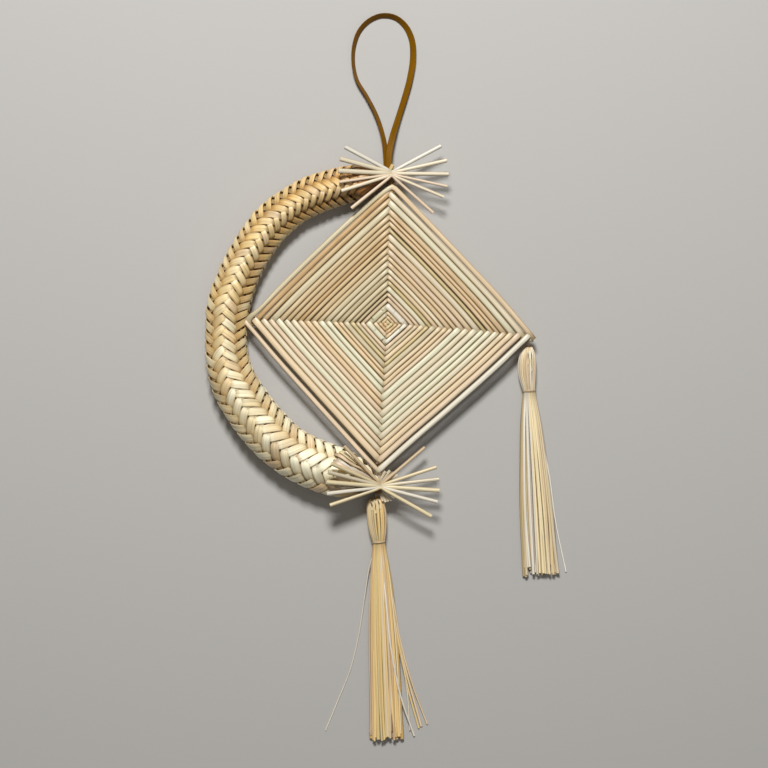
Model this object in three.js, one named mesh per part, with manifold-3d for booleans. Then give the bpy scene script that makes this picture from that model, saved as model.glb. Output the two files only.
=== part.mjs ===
// A hanging straw ornament, lying on its back: a tapered crescent plaited from straw strips,
// a square diamond wound from straws over two crossed stalks, two fans of straw stalks where
// the crescent's tips meet the diamond's corners, two straw tassels and a satin ribbon loop.
//
// Units are millimetres. X runs to the right, Y towards the ribbon, and Z up from the surface
// that the ornament lies on. The pieces are laid out about the diamond's centre, and the whole
// group is then moved so that its origin is under the middle of the straw work.

import * as THREE from "three";
import Module from "manifold-3d";
import { mergeVertices } from "three/addons/utils/BufferGeometryUtils.js";

const wasm = await Module();
wasm.setup();

// ---------------------------------------------------------------- driving dimensions

const GAP = 0.3;                      // air left between two pieces that touch

const DIAMOND = {
  centre: [0, 0.5],
  halfWidth: 43.5,                    // centre to the middle of a side
  strawHeight: 1.7,
  z: 7.85,                            // middle of the straws
  cornerCut: 1.2,                     // how far each blunt corner is cut back
  cornerCutShare: 0.3,                // and at most this share of the way from the centre
  rounds: 22,                         // all rounds, the fine ones included
  coreRounds: 4,                      // fine rounds at the centre
  corePitch: 1.65,
  firstPitch: 1.62,                   // width taken by the first full round
  foldStep: 0.22,                     // how far a straw's end lies over or under the next
};

// The four corners in winding order, a little askew: the arm's direction in degrees, its
// length from the centre, and whether the straw that arrives and the one that leaves lie over
// (1) or under (-1) at that corner.
const CORNERS = [
  { angle: 88.4, reach: 59.8, arriving: -1, leaving: 1 },
  { angle: -4.9, reach: 62.4, arriving: -1, leaving: 1 },
  { angle: -93.2, reach: 62.2, arriving: 1, leaving: -1 },
  { angle: 178.5, reach: 60.6, arriving: 1, leaving: -1 },
];

const ARM = {
  half: 0.9,                          // half the stalk's thickness
  z: 5.5,
  crushedHalf: 0.35,                  // where the two stalks are pressed flat on each other
  crushedReach: 2.2,
  ends: [67.9, 60.4, -62.6, -58.6],   // top, right, bottom and left, from the centre
};

const WRAP = {
  firstRound: 4,                      // the rounds inside it have none of their own
  legAside: 2.5,                      // where its legs run into the straws, beside the arm
  legTop: 7.45,
  drop: 2.15,                         // its inner fold, below the middle of the arm
  thickness: 0.6,
  width: 0.42,                        // against the straw's width
};

const CRESCENT = {
  centre: [-6.0, -1.3],
  radius: 62.3,
  tipRadius: 65.4,                    // the tips turn out to meet the two fans
  tipBend: 17,                        // degrees of the arc over which they turn out
  start: 85.2,                        // degrees, upper tip
  end: 271.4,                         // degrees, lower tip
  tipZ: 5.2,
  tipHalf: 2.1,
  // Half the plait's width at angles along the arc: thickest towards the lower tip.
  girth: [[85.2, 2.1], [89, 4.4], [95, 6.4], [100, 6.9], [115, 6.8], [137, 7.9], [180, 8.1],
    [205, 9.1], [225, 9.8], [246, 9.9], [258, 9.4], [264, 7.5], [268.5, 4.4], [271.4, 2.1]],
  squash: 0.85,                       // height against width of the section
  sink: 0.7,                          // depth pressed flat along the underside
  pitches: 50,
  slant: 2.7,                         // how far a strip leans along the arc, either way
  crown: 0.25,                        // strips stand this far proud
  groove: 0.5,                        // gaps between strips lie this far in
  ridge: 0.35,                        // the four ridges where the slant turns
};

const PLAIT_ENDS = { angles: [-52, -30, -8, 20, 44], length: 7.5, width: 2.0, thickness: 0.5 };

const UPPER_FAN = {
  name: "upper_fan_stalk",
  centre: [1.5, 63.8],
  z: 8.2,
  left: [29, 15, 2, -10, -19.5, -41],        // degrees above level, from the top stalk down
  right: [30, 14, 0, -12.6, -24, -43.4],
  leftReach: 22.3,
  rightReach: 23.9,
};

const LOWER_FAN = {
  name: "lower_fan_stalk",
  centre: [-3.0, -67.1],
  z: 8.2,
  left: [48, 25.6, 16, 5.4, -7.2, -20.2],
  right: [41.3, 18.8, 6.8, -4.3, -15.5, -30.9],
  leftReach: 22.7,
  rightReach: 24.6,
};

const STALK = {
  half: 0.72,
  pinchHalf: 0.42,
  pinchThickness: 0.26,
  pinchReach: 2.6,
  layer: 0.86,                        // each stalk lies this far above the one under it
  freeDroop: 0.6,                     // how far the free right ends hang
};

const LOWER_TASSEL = {
  name: "lower_tassel",
  neck: [-4.7, -70.4, 5.2],
  top: [-5.4, -72.6],
  tie: [-3.9, -91.3],
  foot: [0.1, -175.1],
  footHalf: 7.2,
  strays: [[10.0, -170.2], [14.2, -169.0], [17.0, -168.2]],
};

const CORNER_TASSEL = {
  name: "corner_tassel",
  neck: [58.9, -6.0, 5.0],
  top: [59.7, -8.9],
  tie: [59.5, -27.3],
  foot: [64.9, -105.3],
  footHalf: 7.4,
  strays: [[75.6, -104.0]],
};

const TASSEL = {
  headHalf: 4.15,
  headSquash: 0.9,
  tieHalf: 2.7,
  tieWidth: 1.3,
  tieProud: 0.35,
  footHeight: 1.7,                    // half the height of the skirt where it ends
  rib: 0.22,
  raggedEnd: 1.6,
  strayHalf: 0.45,
};

const RIBBON = { half: 1.5, thickness: 0.36, steps: 30 };

// The ribbon's route from the fan, round the loop and back: x, y, z and the turn of its face.
const RIBBON_ROUTE = [
  [-1.1, 66.8, 3.1, 0], [-1.4, 72.0, 2.7, 4], [-2.9, 80.0, 1.7, 18], [-5.0, 89.0, 1.4, 40],
  [-9.0, 97.5, 1.5, 58], [-13.2, 104.6, 1.55, 62], [-14.7, 111.8, 1.55, 62],
  [-14.3, 118.9, 1.5, 58],
  [-12.2, 124.8, 1.5, 55], [-8.2, 129.3, 1.5, 55], [-2.7, 131.7, 1.5, 55], [2.8, 131.0, 1.5, 52],
  [7.2, 127.3, 1.4, 45], [10.0, 121.6, 1.2, 35], [10.6, 114.4, 1.1, 28], [9.4, 105.6, 1.1, 26],
  [6.9, 96.3, 1.2, 24], [4.5, 87.9, 1.5, 18], [2.4, 80.6, 2.6, 10], [0.9, 73.5, 3.6, 4],
  [-0.1, 66.8, 4.1, 0],
];

const COLOUR = {
  goldenStraw: 0xc9a75c,
  paleStraw: 0xe2d3a4,
  tanStraw: 0xd6b27c,
  greenStraw: 0xcfcda6,
  whiteStraw: 0xe9e2c8,
  tie: 0xc7a45e,
  satin: 0xa87a1c,
};

// ---------------------------------------------------------------- helpers

const UP = new THREE.Vector3(0, 0, 1);

function straw(colour, roughness = 0.55) {
  return new THREE.MeshStandardMaterial({ color: colour, roughness, metalness: 0 });
}

function piece(name, geometry, material) {
  const mesh = new THREE.Mesh(geometry, material);
  mesh.name = name;
  return mesh;
}

function vec(x, y, z) {
  return new THREE.Vector3(x, y, z);
}

function onCircle(centre, radius, degrees, z = 0) {
  const angle = THREE.MathUtils.degToRad(degrees);
  return vec(centre[0] + radius * Math.cos(angle), centre[1] + radius * Math.sin(angle), z);
}

// Reads a list of [place, value] pairs as one smooth curve.
function profile(pairs, place) {
  const last = pairs.length - 1;
  if (place <= pairs[0][0]) return pairs[0][1];
  if (place >= pairs[last][0]) return pairs[last][1];
  const next = pairs.findIndex((pair) => pair[0] > place);
  const [from, a] = pairs[next - 1];
  const [to, b] = pairs[next];
  const share = (place - from) / (to - from);
  const eased = share * share * (3 - 2 * share);
  return a + (b - a) * (0.5 * share + 0.5 * eased);
}

function signedVolume(points, faces) {
  let volume = 0;
  for (const [a, b, c] of faces) {
    volume += points[a].dot(points[b].clone().cross(points[c]));
  }
  return volume;
}

function solidFrom(points, faces) {
  const outward = signedVolume(points, faces) > 0;
  const index = faces.flatMap(([a, b, c]) => (outward ? [a, b, c] : [a, c, b]));
  const geometry = new THREE.BufferGeometry();
  const places = points.flatMap((point) => point.toArray());
  geometry.setAttribute("position", new THREE.Float32BufferAttribute(places, 3));
  geometry.setIndex(index);
  return geometry;
}

// The triangles of a cap: a fan for a convex ring, or cut from the ring's flat outline.
function capFaces(count, outline) {
  if (!outline) {
    return Array.from({ length: count - 2 }, (_, side) => [0, side + 1, side + 2]);
  }
  const flat = outline.map(([x, y]) => new THREE.Vector2(x, y));
  const clockwise = THREE.ShapeUtils.isClockWise(flat);
  const triangles = THREE.ShapeUtils.triangulateShape(flat, []);
  return triangles.map(([a, b, c]) => (clockwise ? [a, c, b] : [a, b, c]));
}

// Skins a row of rings that have the same number of points. An open row gets a cap at each
// end, and a closed one runs back into its first ring. A ring that isn't convex comes with its
// flat outline, from which the caps are cut.
function loft(rings, closed = false, outline = null) {
  const count = rings[0].length;
  const points = rings.flat();
  const faces = [];
  const bands = closed ? rings.length : rings.length - 1;
  for (let band = 0; band < bands; band += 1) {
    const here = band * count;
    const there = ((band + 1) % rings.length) * count;
    for (let side = 0; side < count; side += 1) {
      const next = (side + 1) % count;
      faces.push([here + side, here + next, there + next]);
      faces.push([here + side, there + next, there + side]);
    }
  }
  if (!closed) {
    const last = (rings.length - 1) * count;
    for (const [a, b, c] of capFaces(count, outline)) {
      faces.push([a, c, b], [last + a, last + b, last + c]);
    }
  }
  return solidFrom(points, faces);
}

// One ring of an oval section: across and up are its half sizes along the two directions.
function oval(centre, acrossDirection, upDirection, across, up, sides, startTurn = 0) {
  return Array.from({ length: sides }, (_, side) => {
    const angle = startTurn + (2 * Math.PI * side) / sides;
    return centre.clone()
      .addScaledVector(acrossDirection, across * Math.cos(angle))
      .addScaledVector(upDirection, up * Math.sin(angle));
  });
}

function levelNormal(direction) {
  return vec(direction.y, -direction.x, 0).normalize();
}

function toManifold(geometry) {
  const bare = new THREE.BufferGeometry();
  bare.setAttribute("position", geometry.getAttribute("position"));
  bare.setIndex(geometry.getIndex());
  const merged = mergeVertices(bare, 1e-4);
  return new wasm.Manifold(new wasm.Mesh({
    numProp: 3,
    vertProperties: Float32Array.from(merged.getAttribute("position").array),
    triVerts: Uint32Array.from(merged.getIndex().array),
  }));
}

function join(first, ...others) {
  const whole = others.reduce((sum, other) => sum.add(toManifold(other)), toManifold(first));
  const mesh = whole.getMesh();
  const geometry = new THREE.BufferGeometry();
  geometry.setAttribute("position", new THREE.Float32BufferAttribute(mesh.vertProperties, 3));
  geometry.setIndex(Array.from(mesh.triVerts));
  return geometry;
}

// A straight strip with a flat oblong section, wide in the level plane.
function strip(from, to, halfWidth, halfThickness) {
  const across = levelNormal(to.clone().sub(from));
  const corners = [[1, 1], [-1, 1], [-1, -1], [1, -1]];
  return loft([from, to].map((end) => corners.map(([a, u]) => end.clone()
    .addScaledVector(across, a * halfWidth)
    .addScaledVector(UP, u * halfThickness))));
}

// ---------------------------------------------------------------- the diamond

// Every round of the winding: its middle distance from the centre and its width. The fine
// rounds share one width, and the full ones widen evenly to fill the half width.
function windingRounds() {
  const { coreRounds, corePitch, rounds, firstPitch, halfWidth } = DIAMOND;
  const full = rounds - coreRounds;
  const average = (halfWidth - coreRounds * corePitch) / full;
  const growth = (2 * (average - firstPitch)) / (full - 1);
  const list = [];
  let inner = 0;
  for (let index = 0; index < rounds; index += 1) {
    const pitch = index < coreRounds ? corePitch : firstPitch + growth * (index - coreRounds);
    list.push({ index, middle: inner + pitch / 2, width: pitch - GAP });
    inner += pitch;
  }
  return list;
}

// The point over one arm where a straw at this distance from the centre would turn.
function turningPoint(corner, distance, z) {
  const reach = (corner.reach * distance) / DIAMOND.halfWidth;
  return onCircle(DIAMOND.centre, reach, corner.angle, z);
}

// A straw's section: a flat underside, full width at half height and a crown on top.
function strawSection(width, height) {
  return [[-0.34 * width, -height / 2], [0.34 * width, -height / 2], [width / 2, 0],
    [0, height / 2], [-width / 2, 0]];
}

// One closed round: four straws, level below, with their tops stepped over and under at the
// corners.
function strawRound({ middle, width }) {
  const section = strawSection(width, DIAMOND.strawHeight);
  const cut = Math.min(DIAMOND.cornerCut, DIAMOND.cornerCutShare * middle);
  const rings = CORNERS.flatMap((corner, index) => {
    const before = CORNERS[(index + 3) % 4];
    const after = CORNERS[(index + 1) % 4];
    return [[before, corner.arriving], [after, corner.leaving]].map(([neighbour, over]) => (
      section.map(([outward, up]) => {
        const step = up < 0 ? 0 : over * DIAMOND.foldStep;
        const z = DIAMOND.z + step + up;
        const turn = turningPoint(corner, middle + outward, z);
        const other = turningPoint(neighbour, middle + outward, z);
        return turn.lerp(other, (cut * Math.SQRT2) / turn.distanceTo(other));
      })
    ));
  });
  return loft(rings, true);
}

// The part of a round that is folded round the back of one arm.
function wrapBehind(corner, { middle, width }) {
  const along = onCircle([0, 0], 1, corner.angle);
  const aside = levelNormal(along);
  const { legAside, legTop, thickness } = WRAP;
  const low = ARM.z - WRAP.drop;
  const outline = [
    [-legAside, legTop], [0, low - thickness], [legAside, legTop],
    [legAside - thickness, legTop], [0, low], [thickness - legAside, legTop],
  ];
  const turn = turningPoint(corner, middle, 0);
  const half = (WRAP.width * width) / Math.SQRT2;
  const backFromTurn = legAside - thickness / 2 - 0.1;
  return loft([-half, half].map((shift) => outline.map(([side, z]) => turn.clone()
    .addScaledVector(along, shift - backFromTurn)
    .addScaledVector(aside, side)
    .addScaledVector(UP, z))), false, outline);
}

function strawRounds() {
  const { paleStraw, greenStraw, tanStraw } = COLOUR;
  const shades = [paleStraw, greenStraw, tanStraw, paleStraw, tanStraw];
  return windingRounds().map((round) => {
    const wraps = round.index < WRAP.firstRound
      ? []
      : CORNERS.map((corner) => wrapBehind(corner, round));
    const shade = round.index === DIAMOND.coreRounds - 1
      ? COLOUR.whiteStraw
      : shades[round.index % shades.length];
    const name = `straw_round_${String(round.index + 1).padStart(2, "0")}`;
    return piece(name, join(strawRound(round), ...wraps), straw(shade));
  });
}

// A stalk of the cross, from one corner to the opposite one. It is pressed flat where it meets
// the other stalk, and lies on one side of it: side 1 above and side -1 below.
function crossStalk(first, side) {
  const ends = [first, first + 2].map((corner) => ({
    arrow: onCircle([0, 0], Math.sign(ARM.ends[corner]), CORNERS[corner].angle),
    length: ARM.ends[corner],
  }));
  const stations = [ends[1].length, -2 * ARM.crushedReach, -ARM.crushedReach, ARM.crushedReach,
    2 * ARM.crushedReach, ends[0].length];
  return loft(stations.map((station) => {
    const crushed = Math.abs(station) === ARM.crushedReach;
    const shift = crushed ? side * (ARM.half - ARM.crushedHalf) : 0;
    const { arrow } = ends[station > 0 ? 0 : 1];
    const centre = vec(DIAMOND.centre[0], DIAMOND.centre[1], ARM.z + shift)
      .addScaledVector(arrow, station);
    const halfHeight = crushed ? ARM.crushedHalf : ARM.half;
    return oval(centre, levelNormal(arrow), UP, ARM.half, halfHeight, 8, Math.PI / 8);
  }));
}

function crossStalks() {
  return [
    piece("upright_stalk", crossStalk(0, 1), straw(COLOUR.goldenStraw)),
    piece("level_stalk", crossStalk(1, -1), straw(COLOUR.goldenStraw)),
  ];
}

// ---------------------------------------------------------------- the plaited crescent

// The middle line of the plait at an angle: its place, its half width and half height.
function crescentSection(degrees) {
  const { start, end, tipBend, radius, tipRadius, centre, girth, squash, sink, tipZ } = CRESCENT;
  const half = profile(girth, degrees);
  const fromTip = Math.min(degrees - start, end - degrees);
  const bend = Math.max(0, 1 - fromTip / tipBend);
  const reach = radius + (tipRadius - radius) * bend * bend;
  const halfHeight = half * (squash + (1 - squash) * Math.min(1, bend * 1.5));
  const lying = half * squash - sink;
  const z = Math.max(lying, tipZ);
  return { place: onCircle(centre, reach, degrees, z), half, halfHeight };
}

// The zigzag that the strips follow round the plait: 1 on the four ridges, -1 between them.
function zigzag(column, columns) {
  const phase = ((4 * column) / columns) % 1;
  return 4 * Math.abs(phase - 0.5) - 1;
}

function plaitSurface() {
  const { start, end, pitches, slant, crown, groove, ridge, radius } = CRESCENT;
  const columns = 16;
  const rows = 2 * pitches;
  const span = end - start;
  const degreesPerMm = 180 / (Math.PI * radius);
  const rings = [];
  for (let row = 0; row <= rows; row += 1) {
    const along = (span * row) / rows;
    const fade = Math.min(1, Math.min(along, span - along) / 7);
    const strand = row % 2 === 0 ? crown : -groove;
    rings.push(Array.from({ length: columns }, (_, column) => {
      const turn = zigzag(column, columns);
      const degrees = start + along - fade * slant * turn * degreesPerMm;
      const { place, half, halfHeight } = crescentSection(degrees);
      const outward = onCircle([0, 0], 1, degrees);
      const proud = fade * (strand + ridge * turn);
      const angle = (2 * Math.PI * column) / columns;
      const point = place.addScaledVector(outward, (half + proud) * Math.sin(angle))
        .addScaledVector(UP, (halfHeight + proud) * Math.cos(angle));
      point.z = Math.max(0, point.z);
      return point;
    }));
  }
  return loft(rings);
}

// The strips' loose ends, spread beyond the tie at the lower tip.
function plaitEnds() {
  const { end, tipZ, tipHalf } = CRESCENT;
  const { place } = crescentSection(end);
  return PLAIT_ENDS.angles.map((angle, index) => {
    const height = tipZ + (index - 2) * 0.5 * PLAIT_ENDS.thickness;
    const from = vec(place.x - tipHalf, place.y, height);
    const to = onCircle([place.x, place.y], PLAIT_ENDS.length, angle, height);
    return strip(from, to, PLAIT_ENDS.width / 2, PLAIT_ENDS.thickness / 2);
  });
}

function crescent() {
  const plait = join(plaitSurface(), ...plaitEnds());
  return piece("crescent_plait", plait, straw(COLOUR.goldenStraw, 0.5));
}

// ---------------------------------------------------------------- the two fans of stalks

// The height of the plait's upper surface under a point, or 0 beside it.
function plaitTop(x, y) {
  const { centre, start, end, crown, ridge } = CRESCENT;
  const fromCentre = vec(x - centre[0], y - centre[1], 0);
  const angle = THREE.MathUtils.radToDeg(Math.atan2(fromCentre.y, fromCentre.x));
  const degrees = angle < 0 ? angle + 360 : angle;
  if (degrees < start || degrees > end) return 0;
  const { place, half, halfHeight } = crescentSection(degrees);
  const middle = Math.hypot(place.x - centre[0], place.y - centre[1]);
  const aside = (fromCentre.length() - middle) / (half + crown + ridge);
  if (Math.abs(aside) > 1) return 0;
  return place.z + (halfHeight + crown + ridge) * Math.sqrt(1 - aside * aside);
}

// How far the end of a stalk must rise for it to lie on the plait.
function leaningRise(middle, arrow) {
  const steps = 24;
  let rise = 0;
  for (let step = 1; step <= steps; step += 1) {
    const share = step / steps;
    const x = middle.x + share * arrow.x;
    const y = middle.y + share * arrow.y;
    const edges = [-STALK.half, 0, STALK.half].map((shift) => plaitTop(x, y + shift));
    const wanted = Math.max(...edges) + STALK.half + GAP - middle.z;
    rise = Math.max(rise, wanted / share);
  }
  return rise;
}

// One stalk, pinched flat in the middle, where it lies on the ones under it. Its left half
// leans on the plait.
function fanStalk(fan, index) {
  const middle = vec(fan.centre[0], fan.centre[1], fan.z + index * STALK.layer);
  const left = onCircle([0, 0], fan.leftReach, 180 - fan.left[index]);
  const right = onCircle([0, 0], fan.rightReach, fan.right[index], -STALK.freeDroop);
  left.z = leaningRise(middle, left);
  const ring = (arrow, reach, half, halfHeight) => {
    const side = levelNormal(arrow).multiplyScalar(arrow === left ? -1 : 1);
    const centre = middle.clone().addScaledVector(arrow, reach / Math.hypot(arrow.x, arrow.y));
    return oval(centre, side, UP, half, halfHeight, 6);
  };
  const { half, pinchHalf, pinchThickness, pinchReach } = STALK;
  return loft([
    ring(left, fan.leftReach, half, half),
    ring(left, pinchReach, pinchHalf, pinchThickness),
    ring(right, 0, pinchHalf, pinchThickness),
    ring(right, pinchReach, pinchHalf, pinchThickness),
    ring(right, fan.rightReach, half, half),
  ]);
}

function fan(spec) {
  return spec.left.map((_, index) => piece(
    `${spec.name}_${index + 1}`,
    fanStalk(spec, index),
    straw(index < 3 ? COLOUR.whiteStraw : COLOUR.paleStraw),
  ));
}

// ---------------------------------------------------------------- tassels

function ribbedRing(centre, across, up, half, halfHeight, rib) {
  const ring = oval(centre, across, up, half, halfHeight, 16);
  return ring.map((point, side) => {
    const outward = point.clone().sub(centre).normalize();
    return point.addScaledVector(outward, side % 2 === 0 ? rib : -rib);
  });
}

function restingHeight(halfHeight) {
  return halfHeight + TASSEL.rib;
}

function tasselHead({ neck, top, tie }) {
  const height = restingHeight(TASSEL.headHalf * TASSEL.headSquash);
  const crown = vec(top[0], top[1], height);
  const foot = vec(tie[0], tie[1], height);
  const axis = foot.clone().sub(crown);
  const across = levelNormal(axis);
  const length = axis.length();
  const axisUnit = axis.normalize();
  const at = (share, half, rib) => {
    const centre = crown.clone().addScaledVector(axisUnit, share * length);
    return ribbedRing(centre, across, UP, half, half * TASSEL.headSquash, rib);
  };
  const neckEnd = vec(...neck);
  const loop = oval(neckEnd, across, UP, 0.9, 0.7, 16);
  const shoulder = oval(crown.clone().lerp(neckEnd, 0.25), across, UP, 1.6, 1.3, 16);
  const swell = [[0.02, 2.7, 0.1], [0.12, 3.6, TASSEL.rib], [0.38, TASSEL.headHalf, TASSEL.rib],
    [0.68, 3.75, TASSEL.rib], [0.93, TASSEL.tieHalf, 0.1]];
  return loft([loop, shoulder, ...swell.map((station) => at(...station))]);
}

function tasselTie({ top, tie }) {
  const height = restingHeight(TASSEL.headHalf * TASSEL.headSquash);
  const foot = vec(tie[0], tie[1], height);
  const down = vec(tie[0] - top[0], tie[1] - top[1], 0).normalize();
  const across = levelNormal(down);
  const half = TASSEL.tieHalf + TASSEL.tieProud;
  const ring = (shift, size) => oval(
    foot.clone().addScaledVector(down, shift), across, UP, size, size * TASSEL.headSquash, 16,
  );
  const edge = TASSEL.tieWidth / 2;
  return loft([
    ring(-edge, TASSEL.tieHalf),
    ring(-edge / 2, half),
    ring(edge / 2, half),
    ring(edge, TASSEL.tieHalf),
  ]);
}

function tasselSkirt({ tie, foot, footHalf, strays, top }) {
  const tieHeight = restingHeight(TASSEL.headHalf * TASSEL.headSquash);
  const down = vec(tie[0] - top[0], tie[1] - top[1], 0).normalize();
  const begin = vec(tie[0], tie[1], tieHeight).addScaledVector(down, TASSEL.tieWidth / 2 + GAP);
  const end = vec(foot[0], foot[1], TASSEL.footHeight + TASSEL.rib);
  const across = levelNormal(end.clone().sub(begin));
  const stations = [[0, 2.6, 2.3], [0.12, 3.9, 2.9], [0.35, 5.4, 2.7], [0.7, footHalf - 0.5, 2.1],
    [1, footHalf, TASSEL.footHeight]];
  const rings = stations.map(([share, half, halfHeight]) => {
    const centre = begin.clone().lerp(end, share);
    centre.z = Math.max(restingHeight(halfHeight), tieHeight * (1 - 4 * share));
    return ribbedRing(centre, across, UP, half, halfHeight, TASSEL.rib);
  });
  const ragged = rings[rings.length - 1];
  ragged.forEach((point, side) => {
    point.y += side % 2 === 0 ? 0 : TASSEL.raggedEnd * (1 + (side % 3)) / 3;
  });
  const body = loft(rings);
  const strips = strays.map(([x, y], index) => {
    const from = begin.clone().lerp(end, 0.3 + 0.1 * index);
    from.z = 1.6;
    return strip(from, vec(x, y, 0.9), TASSEL.strayHalf, TASSEL.strayHalf / 2);
  });
  return join(body, ...strips);
}

function tassel(spec) {
  return [
    piece(`${spec.name}_head`, tasselHead(spec), straw(COLOUR.paleStraw)),
    piece(`${spec.name}_tie`, tasselTie(spec), straw(COLOUR.tie, 0.4)),
    piece(`${spec.name}_skirt`, tasselSkirt(spec), straw(COLOUR.paleStraw)),
  ];
}

// ---------------------------------------------------------------- the ribbon loop

function ribbonLoop() {
  const places = new THREE.CatmullRomCurve3(RIBBON_ROUTE.map(([x, y, z]) => vec(x, y, z)));
  const turns = RIBBON_ROUTE.map(([, , , turn], index) => vec(turn, index, 0));
  const faces = new THREE.CatmullRomCurve3(turns);
  const rings = Array.from({ length: RIBBON.steps + 1 }, (_, step) => {
    const share = step / RIBBON.steps;
    const centre = places.getPoint(share);
    const tangent = places.getTangent(share);
    const turn = THREE.MathUtils.degToRad(faces.getPoint(share).x);
    const level = levelNormal(tangent);
    const steep = tangent.clone().cross(level).normalize();
    const across = level.clone().multiplyScalar(Math.cos(turn))
      .addScaledVector(steep, Math.sin(turn));
    const through = tangent.clone().cross(across).normalize();
    return oval(centre, across, through, RIBBON.half, RIBBON.thickness / 2, 8, Math.PI / 8);
  });
  return piece("ribbon_loop", loft(rings), straw(COLOUR.satin, 0.35));
}

// ---------------------------------------------------------------- the whole ornament

const strawWork = [
  crescent(),
  ...crossStalks(),
  ...strawRounds(),
  ...fan(UPPER_FAN),
  ...fan(LOWER_FAN),
  ...tassel(LOWER_TASSEL),
  ...tassel(CORNER_TASSEL),
];

const ornament = new THREE.Group();
ornament.add(...strawWork);
const footprint = new THREE.Box3().setFromObject(ornament);
const middle = footprint.getCenter(new THREE.Vector3());
ornament.add(ribbonLoop());
ornament.position.set(-middle.x, -middle.y, 0);

export default ornament;
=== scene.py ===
"""A hanging straw ornament, lying on its back, dressed around its solid model.

A tapered crescent plaited from straw strips holds a square wound from straws over two crossed
stalks. Fans of straw stalks mark the two places where the crescent's tips meet the square's
corners. Two straw tassels hang below, and a satin ribbon loop is at the top.

Sizes are in millimetres, laid out about the middle of the wound square as the solid model's
are, and meshes are made in metres in the solid model's frame.
"""

import logging
import math
import random
from collections.abc import Sequence
from dataclasses import dataclass, field
from enum import Enum
from typing import ClassVar

import bpy
import numpy as np
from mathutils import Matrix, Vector


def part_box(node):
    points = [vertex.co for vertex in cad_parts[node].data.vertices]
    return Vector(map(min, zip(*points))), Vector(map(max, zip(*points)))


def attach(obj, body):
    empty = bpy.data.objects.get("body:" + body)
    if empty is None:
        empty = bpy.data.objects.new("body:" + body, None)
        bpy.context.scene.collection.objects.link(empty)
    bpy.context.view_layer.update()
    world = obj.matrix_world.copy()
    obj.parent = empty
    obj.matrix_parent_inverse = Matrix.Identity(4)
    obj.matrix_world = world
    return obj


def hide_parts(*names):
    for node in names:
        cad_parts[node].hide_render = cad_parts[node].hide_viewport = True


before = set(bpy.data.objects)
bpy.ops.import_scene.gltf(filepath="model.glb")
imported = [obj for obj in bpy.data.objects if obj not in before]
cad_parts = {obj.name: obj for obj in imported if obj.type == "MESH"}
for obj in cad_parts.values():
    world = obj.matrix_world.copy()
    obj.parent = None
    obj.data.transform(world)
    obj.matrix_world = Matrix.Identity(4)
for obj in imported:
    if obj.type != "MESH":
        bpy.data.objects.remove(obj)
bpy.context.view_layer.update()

MM = 0.001
BODY = "root"
UP = np.array([0.0, 0.0, 1.0])
log = logging.getLogger("straw_ornament")

Rgb = tuple[float, float, float]
Row = Sequence[float]


# ---- the layout

SQUARE_CENTRE = (0.0, 0.5)  # the middle of the wound square
SQUARE_Z = 7.85  # the middle of its straws


def layout_shift() -> np.ndarray:
    """Reads where the layout lies in the frame from the finest round of straw.

    Returns:
        The move from the layout to the frame, in millimetres.
    """
    low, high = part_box("straw_round_01")
    middle = (low + high) / 2 / MM
    return np.array([middle.x - SQUARE_CENTRE[0], middle.y - SQUARE_CENTRE[1], 0.0])


LAYOUT_SHIFT = layout_shift()


def in_frame(points: np.ndarray) -> np.ndarray:
    """Returns layout points, in millimetres, as points of the solid model's frame in metres."""
    return (points + LAYOUT_SHIFT) * MM


def unit(vector: np.ndarray) -> np.ndarray:
    """Returns a vector, or each of many, at length one."""
    return vector / np.linalg.norm(vector, axis=-1, keepdims=True)


# ---- node trees from expressions


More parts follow.
